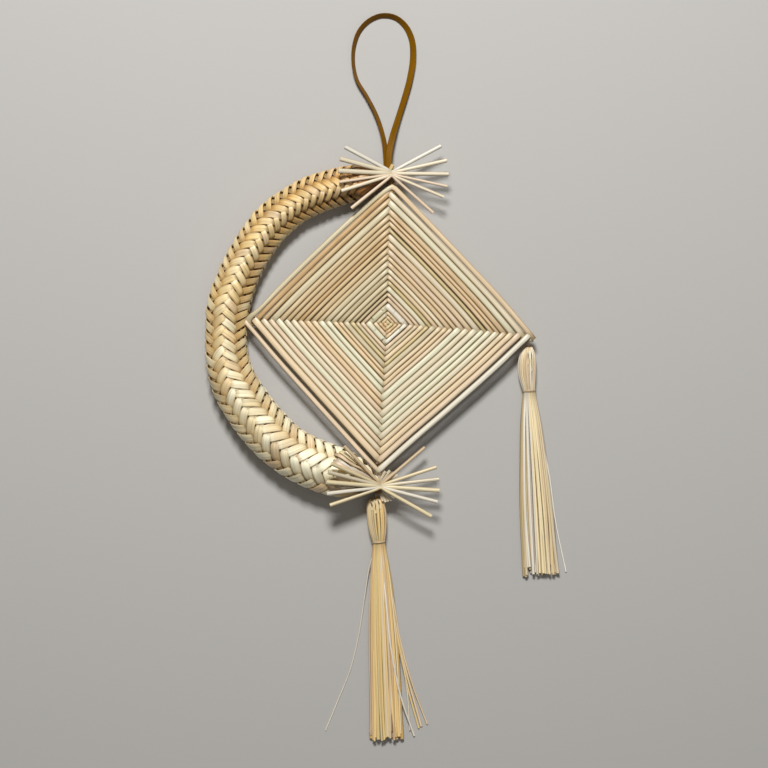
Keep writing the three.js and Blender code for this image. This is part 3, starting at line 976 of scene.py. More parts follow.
@dataclass
class WoundSquare:
    """Rounds of four straws, folded over and under each other along the two crossed arms."""

    rounds: int = 22
    straw_half_height: float = 0.85
    air: float = 0.08  # between one straw and the next
    fold_step: float = 0.42  # how far a fold lies above or below the straws
    flattened: float = 0.5  # half height of a straw at its fold
    arm_half: float = 0.9  # half the thickness of the stalks that the straws are wound on
    arm_z: float = 5.5
    last_wrapped: int = 15  # rounds from the outside that are seen to go round arms
    # The side and end of the outermost straws that are bent at the apex or pressed flat.
    elbow_ends: tuple[tuple[int, int], ...] = ((0, 0), (3, 1))
    pressed_end: tuple[int, int] = (3, 0)
    corners: tuple[Corner, ...] = (
        Corner(88.4, 59.8, False),
        Corner(-4.9, 62.4, False),
        Corner(-93.2, 62.2, True),
        Corner(178.5, 60.6, True),
    )
    # Upper right, lower right, lower left and upper left.
    sides: tuple[Side, ...] = (
        Side(
            "chgTttyhcptthcygppwcty",
            (0.97, 0.978),
            (0.98, 0.96, 0.92),
            (2.5, 2.6, 2.8, 2.3, 1.5, 2.1, 1.6, 2.5, 2.2, 2.2, 1.7, 2.0, 1.8, 1.8, 1.6, 2.1, 1.5,
             1.6, 2.6, 1.3, 1.3, 1.4),
            ((1, 0.14), (6, 0.35)),
        ),
        Side(
            "wpcchgghhgptckyckpwtoy",
            (0.971, 1.006),
            (1.09, 1.1, 1.07),
            (2.95, 2.5, 2.4, 2.1, 2.4, 2.3, 2.1, 2.6, 2.4, 2.6, 1.7, 1.8, 1.9, 2.2, 1.5, 1.9,
             1.5, 1.9, 1.7, 1.3, 1.3, 1.4),
            ((1, 0.6), (18, 0.3)),
        ),
        Side(
            "pchpghhptcggttkykpgcoo",
            (0.993, 0.987),
            (1.11, 1.11, 1.09),
            (3.0, 2.9, 2.4, 2.1, 2.6, 2.2, 2.2, 2.1, 2.1, 2.1, 2.3, 2.2, 1.8, 1.5, 2.1, 1.7, 1.5,
             1.6, 2.4, 1.6, 1.4, 1.4),
            ((1, 1.1), (12, 0.25)),
        ),
        Side(
            "hOThcttottchhkhkkpghty",
            (0.971, 0.992),
            (0.9, 0.88, 0.78),
            (2.3, 2.45, 2.25, 2.8, 2.2, 1.9, 2.1, 1.7, 2.0, 2.1, 1.9, 2.2, 2.0, 1.9, 2.0, 1.8,
             1.6, 1.6, 2.5, 1.7, 1.5, 1.4),
            ((2, 0.14), (3, 0.2), (9, 0.25), (16, 0.3), (17, 0.3)),
        ),
    )

    def build(self, maker: StrandMaker, straw: bpy.types.Material) -> list[bpy.types.Object]:
        """Makes every round as a piece of its own.

        Args:
            maker: what skins the straws.
            straw: the finish.

        Returns:
            The rounds, from the centre outwards.
        """
        rng = random.Random(41)
        pieces = []
        for number in range(self.rounds, 0, -1):
            strands = [self._straw(side, number, rng) for side in range(4)]
            if number <= self.last_wrapped + 1:
                for place, tint in enumerate([strand.tint for strand in strands]):
                    strands.append(self._wrap(place, number, tint, rng))
            name = f"straw_round_{self.rounds + 1 - number:02d}"
            section = Section(14, squareness=0.3, unevenness=0.1)
            piece = maker.make(f"wound_{name}", strands, straw, section)
            pieces.append(settle(piece, "wound_straw", name))
        return pieces

    def _levels(self, side: int) -> tuple[np.ndarray, float, np.ndarray]:
        """Measures one side of the square.

        Args:
            side: the side's number.

        Returns:
            Its outward direction, its distance at the arms' full reach, and how far out the
            edges of its straws are.
        """
        first, last = self.corners[side], self.corners[(side + 1) % 4]
        start, stop = first.turning_point(1.0), last.turning_point(1.0)
        heading = unit(stop - start)
        outward = np.array([-heading[1], heading[0], 0.0])
        centre = np.array([*SQUARE_CENTRE, 0.0])
        full = float(np.dot(start - centre, outward))
        return outward * math.copysign(1, full), abs(full), self.sides[side].edges

    def _hold(self, side: int, end: int, edge: int) -> float:
        """Returns the share of its arm's reach where the edge of a straw is folded."""
        _, full, edges = self._levels(side)
        return edges[edge] / full * self.sides[side].holds[end]

    def _straw(self, side: int, number: int, rng: random.Random) -> Strand:
        """Makes one straw of a round, from one corner to the next.

        Args:
            side: the number of its side.
            number: the round's number, from the outside.
            rng: the source of variation.

        Returns:
            The straw.
        """
        (start, start_half), (stop, stop_half) = (
            self._fold_point(side, number, end) for end in (0, 1)
        )
        half, body = self._body(side, number, start, stop)
        length = float(np.linalg.norm(stop - start))
        room = min(1.0, length / (9 * start_half))
        first = Fold(start, start_half, unit(body[0] - start), room)
        last = Fold(stop, stop_half, unit(body[-1] - stop), room)
        rows = self._end_rows(side, number, 0, first)
        tail = self._end_rows(side, number, 1, last)
        for place in body:
            high = UP * (SQUARE_Z + rng.uniform(-0.07, 0.07))
            width = half * rng.uniform(0.97, 1.02)
            rows.append([*(place + high), width, self.straw_half_height, 0])
        letter = self.sides[side].shades[number - 1]
        tint = varied(Tone(letter.lower()).colour, rng, 0.03)
        # Painted light and shade by side: the upper sides darker, the lower sides lighter.
        tint = tuple(part * wash for part, wash in zip(tint, self.sides[side].wash))
        stations = max(26, int(length / 2.0))
        strand = Strand.through([*rows, *reversed(tail)], stations, tint, rng.random())
        strand.stained = 1.0 if letter.isupper() else rng.uniform(0.0, 0.5)
        return strand

    def _fold_point(self, side: int, number: int, end: int) -> tuple[np.ndarray, float]:
        """Finds where a straw is folded over its corner's arm.

        Args:
            side: the number of its side.
            number: the round's number, from the outside.
            end: 0 for the straw's first end and 1 for its last.

        Returns:
            The point and half the straw's width there.
        """
        _, full, _ = self._levels(side)
        outer, inner = (self._hold(side, end, edge) for edge in (number - 1, number))
        half = (full * (outer - inner) - self.sides[side].gap(number, self.air)) / 2
        if number == 1 and (side, end) in self.elbow_ends:
            return self._elbow(), half
        corner = self.corners[(side + end) % 4]
        return corner.turning_point(outer - half / full), half

    def _body(
        self, side: int, number: int, start: np.ndarray, stop: np.ndarray
    ) -> tuple[float, list[np.ndarray]]:
        """Finds how wide a straw is and how it bows out between its two folds.

        Args:
            side: the number of its side.
            number: the round's number, from the outside.
            start: the point of its first fold.
            stop: the point of its last fold.

        Returns:
            Half its width and the points of its middle part.
        """
        outward, _, edges = self._levels(side)
        half = (edges[number - 1] - edges[number] - self.sides[side].gap(number, self.air)) / 2
        level = edges[number - 1] - half
        centre = np.array([*SQUARE_CENTRE, 0.0])
        body = []
        for share, bow in ((0.22, 0.6), (0.5, 1.0), (0.78, 0.95)):
            straight = start + (stop - start) * share
            lack = level - float(np.dot(straight - centre, outward))
            body.append(straight + outward * lack * bow)
        return half, body

    def _elbow(self) -> np.ndarray:
        """Returns the point at the apex where the two outermost upper straws are one bent straw."""
        holds = [self._hold(3, 1, edge) + self._hold(0, 0, edge) for edge in (0, 1)]
        return self.corners[0].turning_point(sum(holds) / 4)

    def _end_rows(self, side: int, number: int, end: int, fold: Fold) -> list[list[float]]:
        """Lists the rows of a straw's end, bent, pressed flat or folded as it is there.

        Args:
            side: the number of its side.
            number: the round's number, from the outside.
            end: 0 for the straw's first end and 1 for its last.
            fold: the end.

        Returns:
            The rows, from the tip inwards.
        """
        if number == 1 and (side, end) in self.elbow_ends:
            return self._elbow_rows(fold)
        if number == 1 and (side, end) == self.pressed_end:
            return self._pressed_rows(fold)
        arriving_over = self.corners[(side + end) % 4].arriving_over
        return self._folded_rows(fold, over=arriving_over if end else not arriving_over)

    def _elbow_rows(self, fold: Fold) -> list[list[float]]:
        """Lists the rows of half a bend that meets the next straw at the apex.

        Args:
            fold: the end, whose point is the apex.

        Returns:
            The rows, from the apex inwards.
        """
        half, height = fold.half, self.straw_half_height
        level = unit(fold.inwards * np.array([1.0, 0.0, 0.0]))
        apex = np.array([*fold.point[:2], SQUARE_Z])
        rows = []
        for place, drop in ((-0.4, 0.5), (0.5, 0.68), (1.05, 1.12)):
            point = apex + level * place * half - np.array([0.0, drop * half, 0.0])
            rows.append([*point, half, height * 0.9, 0])
        rows.append([*(apex + fold.inwards * half * 3.0), half, height, 0])
        return rows

    def _pressed_rows(self, fold: Fold) -> list[list[float]]:
        """Lists the rows of a straw's end that is pressed flat and turned down the side.

        Args:
            fold: the end.

        Returns:
            The rows, from the tip inwards.
        """
        half, flat = fold.half, self.flattened * 0.8
        rows = []
        # Each step: an offset, width and height against the straw's, and painted shade, darkest at
        # the tip.
        for (x, y), wide, thick, tucked_shade in (
            ((1.5, -3.0), 1.0, flat, 0.9),
            ((0.55, -1.5), 1.35, flat, 0.7),
            ((0.1, 0.1), 1.4, flat, 0.55),
            ((0.9, 1.5), 1.2, self.flattened, 0.3),
        ):
            point = fold.point + np.array([x, y, SQUARE_Z - self.fold_step])
            rows.append([*point, half * wide, thick, tucked_shade])
        point = fold.point + fold.inwards * half * 4.0 + UP * SQUARE_Z
        rows.append([*point, half, self.straw_half_height, 0.0])
        return rows

    def _folded_rows(self, fold: Fold, over: bool) -> list[list[float]]:
        """Lists the rows of a straw's end that lies over or under the next straw's.

        Args:
            fold: the end.
            over: whether it lies over the next straw's end.

        Returns:
            The rows, from the tip to where the straw lies level.
        """
        half, height, flat = fold.half, self.straw_half_height, self.flattened
        wide = half * 1.05
        # Each station is a place along the straw in half widths, a rise, half the width, half
        # the height and how much painted shade it has.
        if over:
            stations = (
                (-1.02, self.fold_step - 0.42, wide * 0.97, flat * 0.75, 0.35),
                (-0.86, self.fold_step - 0.08, wide, flat * 0.95, 0.0),
                (0.0, self.fold_step, wide, flat, 0.0),
                (1.3, self.fold_step * 0.75, half, height * 0.8, 0.0),
                (3.0, 0.0, half, height, 0.0),
            )
        else:
            stations = (
                (-0.95, -self.fold_step - 0.4, half * 0.96, flat * 0.7, 0.9),
                (0.4, -self.fold_step, half, flat, 0.7),
                (1.2, -self.fold_step * 0.7, half, height * 0.7, 0.25),
                (3.0, 0.0, half, height, 0.0),
            )
        rows = []
        for place, rise, *sizes in stations:
            reach = place * half * (fold.room if place > 0 else 1.0)
            rows.append([*(fold.point + fold.inwards * reach + UP * (SQUARE_Z + rise)), *sizes])
        return rows

    def _wrap(self, place: int, number: int, tint: Rgb, rng: random.Random) -> Strand:
        """Makes the fold that takes a round's straw behind one arm.

        Args:
            place: the corner's number.
            number: the round's number, from the outside.
            tint: the straw's colour.
            rng: the source of variation.

        Returns:
            The fold.
        """
        corner = self.corners[place]
        aside = np.array([corner.arrow[1], -corner.arrow[0], 0.0])
        outer, inner = (
            (self._hold((place + 3) % 4, 1, edge) + self._hold(place, 0, edge)) / 2
            for edge in (number - 1, number)
        )
        turn = corner.turning_point((outer + inner) / 2)
        pitch = (outer - inner) * corner.reach * 0.7
        leg = self.arm_half + 0.55
        bottom = self.arm_z - self.arm_half - 0.42
        half = pitch * 0.42
        # Each station is how far aside, the height, how far out along the arm and half the height.
        stations = (
            (-0.36 * pitch, SQUARE_Z - 0.9, 0.5 * pitch, 0.34),
            (-leg - 0.2, self.arm_z + 1.2, 0.3 * pitch, 0.3),
            (-leg + 0.15, self.arm_z - 0.2, 0.1 * pitch, 0.28),
            (-0.55, bottom + 0.1, 0.0, 0.28),
            (0.55, bottom + 0.1, -0.05 * pitch, 0.28),
            (leg - 0.15, self.arm_z - 0.2, 0.1 * pitch, 0.28),
            (leg + 0.2, self.arm_z + 1.2, 0.3 * pitch, 0.3),
            (0.36 * pitch, SQUARE_Z - 0.9, 0.5 * pitch, 0.34),
        )
        # The fold behind the arm has painted shade all along it.
        rows = [
            [*(turn + aside * side + corner.arrow * along + UP * z), half, thick, 0.35]
            for side, z, along, thick in stations
        ]
        strand = Strand.through(rows, 18, tint, rng.random())
        outward = strand.rows[:, :3] - (turn + UP * (self.arm_z + 0.6))
        outward -= np.outer(outward @ corner.arrow, corner.arrow)
        strand.facing = unit(outward)
        return strand


# ---- the crossed stalks


@dataclass
class CrossedStalks:
    """The two stalks that the square is wound on, pressed flat where they cross."""

    half: float = 0.9
    z: float = 5.5
    crushed: float = 0.35  # half the height where they are pressed flat
    ends: tuple[float, ...] = (62.0, 60.4, 62.6, 58.6)  # the reach towards each corner
    # The upright's upper end, which leans to the right beyond the fan.
    stub: tuple[Row, ...] = ((0.7, 65.4, 6.6), (1.35, 66.6, 7.1), (2.0, 67.8, 7.5))

    def build(
        self, maker: StrandMaker, straw: bpy.types.Material, square: WoundSquare
    ) -> list[bpy.types.Object]:
        """Makes the upright stalk and the level one.

        Args:
            maker: what skins them.
            straw: the finish.
            square: the winding, whose corners give the arms' directions.

        Returns:
            The two stalks.
        """
        pieces = []
        for first, side, name in ((0, 1, "upright_stalk"), (1, -1, "level_stalk")):
            shift = side * (self.half - self.crushed)
            rows = self._arm_rows(square, first + 2)
            # Where the stalks cross they have more painted shade; the stub has none.
            rows.append([*SQUARE_CENTRE, self.z + shift, self.half, self.crushed, 0.4])
            rows += reversed(self._arm_rows(square, first))
            if first == 0:
                rows += [[*place, self.half * 0.92, self.half * 0.9, 0.0] for place in self.stub]
            strand = Strand.through(rows, 60, Tone.GOLD.colour, 0.2 + 0.3 * side)
            piece = maker.make(f"crossed_{name}", [strand], straw, Section(14))
            pieces.append(settle(piece, "cross_stalk", name))
        return pieces

    def _arm_rows(self, square: WoundSquare, corner: int) -> list[list[float]]:
        """Lists the rows of a stalk's half.

        Args:
            square: the winding.
            corner: the number of the corner that the half points to.

        Returns:
            The rows, from the end inwards.
        """
        arm = square.corners[corner].arrow * self.ends[corner]
        places = [np.array([*SQUARE_CENTRE, self.z]) + arm * share for share in (1.0, 0.55, 0.12)]
        # Light painted shade along the arms, which lie under the straws.
        return [[*place, self.half, self.half, 0.2] for place in places]


# ---- the plaited crescent


@dataclass
class Crescent:
    """A tube plaited over two and under two from sixteen straw strips, thick in the middle."""

    centre: tuple[float, float] = (-6.0, -1.3)
    radius: float = 62.3
    tip_radius: float = 65.4
    tip_bend: float = 17.0
    start: float = 85.2
    end: float = 271.4
    tip_z: float = 5.2
    # Half the plait's width at angles along the arc.
    girth: tuple[tuple[float, float], ...] = (
        (85.2, 2.1), (89, 4.4), (95, 6.7), (100, 7.3), (108, 7.5), (115, 7.8), (122, 7.5),
        (128, 7.8), (137, 7.85), (150, 7.85), (160, 7.95), (170, 8.35), (180, 7.95), (190, 8.2),
        (200, 9.0), (208, 9.4), (225, 9.7), (232, 9.5), (246, 9.9), (254, 9.9), (258, 9.4),
        (264, 7.5), (268.5, 4.4), (271.4, 2.1),
    )
    # How far the middle line strays outwards from its arc.
    sway: tuple[tuple[float, float], ...] = (
        (85.2, 0.0), (100, -0.2), (108, -0.3), (118, 0.0), (134, 0.0), (142, -0.7), (152, -1.0),
        (162, -0.8), (172, 0.0), (180, -0.05), (186, 0.3), (192, 0.8), (202, 0.8), (210, -0.1),
        (222, -0.4), (232, 0.0), (252, -0.4), (260, 0.0), (271.4, 0.0),
    )
    squash: float = 0.85  # the tube's height against its width
    sink: float = 0.7  # how much lower than that its middle lies
    pitches: int = 48  # crossings of strips from tip to tip
    strands: int = 8  # in each direction
    stations: int = 8  # for each pitch
    coverage: float = 0.94  # a strip's width against the pitch
    half_height: float = 0.15  # of each strip
    lift: float = 0.34  # how far strips rise over those that they cross
    ridge: float = 0.75  # how far they rise on the ridges
    teeth: float = 0.3  # how far strips stand up at the outer edge
    inset: float = 0.8  # how far the weave's middle lies inside the girth
    wander: float = 5.0  # degrees by which strips stray from even spacing
    overlap: float = 4.0  # degrees by which the inner ends pass the ridges
    opening: float = 0.2  # how much the pitch grows towards the lower tip
    twist: float = 10.0  # degrees by which the upper part turns inwards
    slimmer: float = 0.24  # how much slimmer one way's strips are in the upper part
    # Bast tied round the tips where they cross the upright: middle, length and half width.
    ties: tuple[tuple[Row, float, float], ...] = (
        ((1.1, 61.9, 5.9), 4.6, 1.5), ((-4.1, -68.3, 5.7), 3.8, 1.5),
    )
    # Loose strips near each tip: where they leave the weave, where they end and their shades
    # from the inner side over the top to the outer, and how stained they are.
    loose: tuple[tuple[float, float, str, float], ...] = (
        # Upper tip: rust and brown, partly the straw's colour and partly painted shade on the inner
        # side.
        (254.0, 270.8, "duucwpductwcdut", 0.35), (99.0, 85.6, "bbrbrbnrbornorbno", 1.0),
    )
    # Strips that stick out beyond the lower tip: direction, length, rise and shade.
    flares: tuple[tuple[float, float, float, str], ...] = (
        (-69, 7.2, 0.9, "c"), (-61, 8.0, 1.3, "h"), (-53, 8.3, 1.6, "c"), (-45, 8.8, 2.0, "w"),
        (-37, 9.1, 2.4, "w"), (26, 9.5, 2.2, "h"), (37, 8.4, 1.8, "c"), (49, 8.0, 1.4, "h"),
        (60, 6.6, 1.8, "h"), (78, 5.4, 1.4, "c"),
    )

    def section(self, degrees: float) -> tuple[np.ndarray, float, float]:
        """Measures the tube.

        Args:
            degrees: the angle along its arc.

        Returns:
            The middle line's point, half the width and half the height.
        """
        half = self._read(self.girth, degrees)
        from_tip = min(degrees - self.start, self.end - degrees)
        bend = max(0.0, 1 - from_tip / self.tip_bend)
        reach = self.radius + self._read(self.sway, degrees)
        reach += (self.tip_radius - self.radius) * bend * bend
        half_height = half * (self.squash + (1 - self.squash) * min(1.0, bend * 1.5))
        z = max(half * self.squash - self.sink, self.tip_z)
        turn = math.radians(degrees)
        point = [self.centre[0] + reach * math.cos(turn), self.centre[1] + reach * math.sin(turn)]
        return np.array([*point, z]), half, half_height

    def _read(self, table: tuple[tuple[float, float], ...], degrees: float) -> float:
        """Reads a table of values by angle.

        Args:
            table: angles and values.
            degrees: the angle.

        Returns:
            The value, with each stretch between two rows a little rounded.
        """
        places, values = zip(*table)
        span = int(np.clip(np.searchsorted(places, degrees) - 1, 0, len(places) - 2))
        share = (degrees - places[span]) / (places[span + 1] - places[span])
        share = min(1.0, max(0.0, share))
        eased = share * share * (3 - 2 * share)
        return values[span] + (values[span + 1] - values[span]) * (share + eased) / 2

    def _sections(self) -> list[tuple[np.ndarray, float, float]]:
        """Returns the tube's measures from tip to tip, a pitch apart."""
        angles = np.linspace(self.start, self.end, self.pitches + 1)
        return [self.section(degrees) for degrees in angles]

    def guide(self) -> bpy.types.Mesh:
        """Makes the plait's middle line.

        Returns:
            The line as a mesh, a point for each pitch, with the tube's half sizes.
        """
        places, halves, half_heights = zip(*self._sections())
        mesh = bpy.data.meshes.new("plait_guide")
        edges = [(step, step + 1) for step in range(self.pitches)]
        mesh.from_pydata(in_frame(np.array(places)).tolist(), edges, [])
        write_column(mesh, "girth_across", np.array(halves) * MM)
        write_column(mesh, "girth_up", np.array(half_heights) * MM)
        return mesh

    def build(self, maker: StrandMaker, straw: bpy.types.Material) -> bpy.types.Object:
        """Makes the plait, its shaded inside, its loose ends and the bast round its tips.

        Args:
            maker: what skins the loose ends.
            straw: the finish.

        Returns:
            The crescent.
        """
        values = Section(12, camber=0.03, squareness=0.85, unevenness=0.12).values()
        for name in self.numbers + self.lengths:
            scale = MM if name in self.lengths else 1
            values[name.replace("_", " ").capitalize()] = getattr(self, name) * scale
        plait = PlaitTree().run("plait", self.guide(), straw, values)
        section = Section(10, camber=0.05, squareness=0.8, unevenness=0.15)
        loose = self._loose_strips() + self._flares()
        ends = maker.make("plait_ends", loose, straw, section)
        parts = [plait, self._inside(maker, straw), ends, self._bindings(maker, straw)]
        plait = merged("plaited_crescent", parts)
        return settle(plait, "plaited_straw", "crescent_plait")

    # The sizes that the weave takes: plain numbers, and lengths in millimetres.
    numbers: ClassVar[tuple[str, ...]] = (
        "strands", "pitches", "stations", "coverage", "overlap", "wander", "opening", "twist",
        "slimmer",
    )
    lengths: ClassVar[tuple[str, ...]] = (
        "half_height", "lift", "ridge", "teeth", "inset", "radius", "pitch",
    )

    @property
    def pitch(self) -> float:
        """The distance along the middle line from one crossing of strips to the next."""
        return math.radians(self.end - self.start) * self.radius / self.pitches

    def _inside(self, maker: StrandMaker, straw: bpy.types.Material) -> bpy.types.Object:
        """Makes the shaded straw inside the tube.

        Args:
            maker: what skins it.
            straw: the finish.

        Returns:
            The filling.
        """
        rows = []
        for place, half, half_height in self._sections():
            # The filling stays inside the weave and off the table.
            across = half - min(2.6, 0.42 * half)
            up = min(half_height - min(2.0, 0.36 * half_height), place[2] - 0.6)
            # The filling has painted shade all along it.
            rows.append([*place, across, up, 0.3])
        filling = Strand(np.array(rows), Tone.HONEY.colour, 0.4)
        return maker.make("plait_inside", [filling], straw, Section(20))

    def _loose_strips(self) -> list[Strand]:
        """Makes the strips that leave the weave near the tips and meet under the fans.

        Returns:
            The strips.
        """
        rng = random.Random(23)
        strands = []
        for start, end, shades, stained in self.loose:
            way = math.copysign(1, end - start)
            for index, letter in enumerate(shades):
                around = -88 + 176 * index / (len(shades) - 1) + rng.uniform(-5, 5)
                begin = start + way * rng.uniform(-1.5, 2.5)
                strand = self._loose_strip(begin, end, math.radians(around), letter, rng)
                strand.stained = stained * rng.uniform(0.2, 1.0)
                strands.append(strand)
        return strands

    def _loose_strip(
        self, begin: float, end: float, tilt: float, letter: str, rng: random.Random
    ) -> Strand:
        """Makes one strip that lies along the tube.

        Args:
            begin: the angle where it comes out of the weave.
            end: the angle where it ends.
            tilt: how far round the tube it lies, from the top.
            letter: its shade.
            rng: the source of variation.

        Returns:
            The strip.
        """
        rows = []
        for step in range(7):
            degrees = begin + (end - begin) * step / 6
            place, half, half_height = self.section(degrees)
            lift = 0.55 - 0.04 * step - (1.1 if step == 0 else 0.0)
            out = self._out(degrees, tilt * (1 - 0.25 * math.sin(math.pi * step / 6)))
            place = place + out * np.array([half + lift, half + lift, half_height + lift])
            # Painted shade where the strip comes out of the weave, and a little more towards its
            # end.
            rows.append([*place, 1.0 - 0.11 * step, 0.15, 0.9 if step == 0 else 0.05 * step])
        tint = varied(Tone(letter).colour, rng, 0.05)
        facing = self._out((begin * 5 + end) / 6, tilt) + UP * 0.3
        return Strand.through(rows, 26, tint, rng.random(), unit(facing))

    def _out(self, degrees: float, tilt: float) -> np.ndarray:
        """Finds the direction out of the tube.

        Args:
            degrees: the angle along the arc.
            tilt: how far from straight up, in radians.

        Returns:
            The direction.
        """
        turn = math.radians(degrees)
        level = np.array([math.cos(turn), math.sin(turn), 0.0])
        return level * math.sin(tilt) + UP * math.cos(tilt)

    def _flares(self) -> list[Strand]:
        """Makes the curled ends that stick out beyond the lower tip.

        Returns:
            The strips.
        """
        rng = random.Random(29)
        tip, _, _ = self.section(self.end)
        strands = []
        for angle, reach, curl, letter in self.flares:
            turn = math.radians(angle)
            way = np.array([math.cos(turn), math.sin(turn), 0.0])
            rows = []
            for share in (-0.35, 0.0, 0.35, 0.7, 1.0):
                place = tip + way * reach * share
                place[2] = 5.6 + 0.5 * math.sin(share * 2.4) + curl * max(0.0, share) ** 2
                width = 0.55 + (0.55 if angle < 0 else 0.1) * max(0.0, share)
                # Painted shade on the part inside the tip.
                rows.append([*place, width, 0.15, 0.6 if share < 0 else 0.0])
            tint = varied(Tone(letter).colour, rng, 0.04)
            strands.append(Strand.through(rows, 14, tint, rng.random()))
        return strands

    def _bindings(self, maker: StrandMaker, straw: bpy.types.Material) -> bpy.types.Object:
        """Makes the turns of brown bast that tie the two tips to the upright stalk.

        Args:
            maker: what skins them.
            straw: the finish.

        Returns:
            Both ties, as one object.
        """
        steps, pitch = 16, 0.62
        strands = []
        for middle, length, half in self.ties:
            turns = int(length / pitch)
            angles = math.tau * np.arange(turns * steps + 1) / steps
            out = np.stack([np.cos(angles), np.zeros(len(angles)), np.sin(angles)], axis=1)
            along = (np.arange(len(angles)) / (turns * steps) - 0.5) * length
            places = np.array(middle) + out * half
            places[:, 1] += along
            # Half width, half height and painted shade of the bast.
            sizes = np.tile((0.36, 0.2, 0.25), (len(angles), 1))
            rows = np.hstack([places, sizes])
            strands.append(Strand(rows, Tone.BROWN.colour, 0.7, out))
        return maker.make("plait_bindings", strands, straw, Section(8))


class PlaitTree(GrowthTree):
    """Lays strips round a tube, over two and under two."""

    name = "plait"
    whole_inputs = ("Strands", "Pitches", "Stations", "Sides")
    inputs = (
        "Coverage", "Half height", "Lift", "Ridge", "Overlap", "Teeth", "Inset", "Wander", "Radius",
        "Pitch", "Opening", "Twist", "Slimmer", "Camber", "Squareness", "Unevenness",
    )

    def _grow(self, bench: NodeBench, given: dict[str, Wire]) -> Wire:
        """Adds the nodes that count out the strips, weave them and skin them.

        Args:
            bench: the bench of the tree.
            given: the tree's inputs by name.

        Returns:
            The wire of the mesh.
        """
        guide = bench.add("GeometryNodeMeshToCurve", None, {0: given["Lines"]})
        sockets = {"Count": given["Pitches"] * given["Stations"] + 1, "Offset": (MM, 0.0, 0.0)}
        line = bench.add("GeometryNodeMeshLine", {"mode": "OFFSET"}, sockets)
        line = bench.add("GeometryNodeMeshToCurve", None, {0: line})
        sockets = {"Geometry": line, "Amount": given["Strands"] * 2}
        copies = bench.place("GeometryNodeDuplicateElements", {"domain": "SPLINE"}, sockets)
        strips, number = Wire(bench, copies.outputs[0]), Wire(bench, copies.outputs[1])
        strips = bench.store(strips, "number", "FLOAT", number)
        step = bench.add("GeometryNodeSplineParameter", output="Index")
        strips = bench.store(strips, "travel", "FLOAT", step / given["Stations"])
        return skin(bench, Weave(bench, guide, given).laid(strips), given)


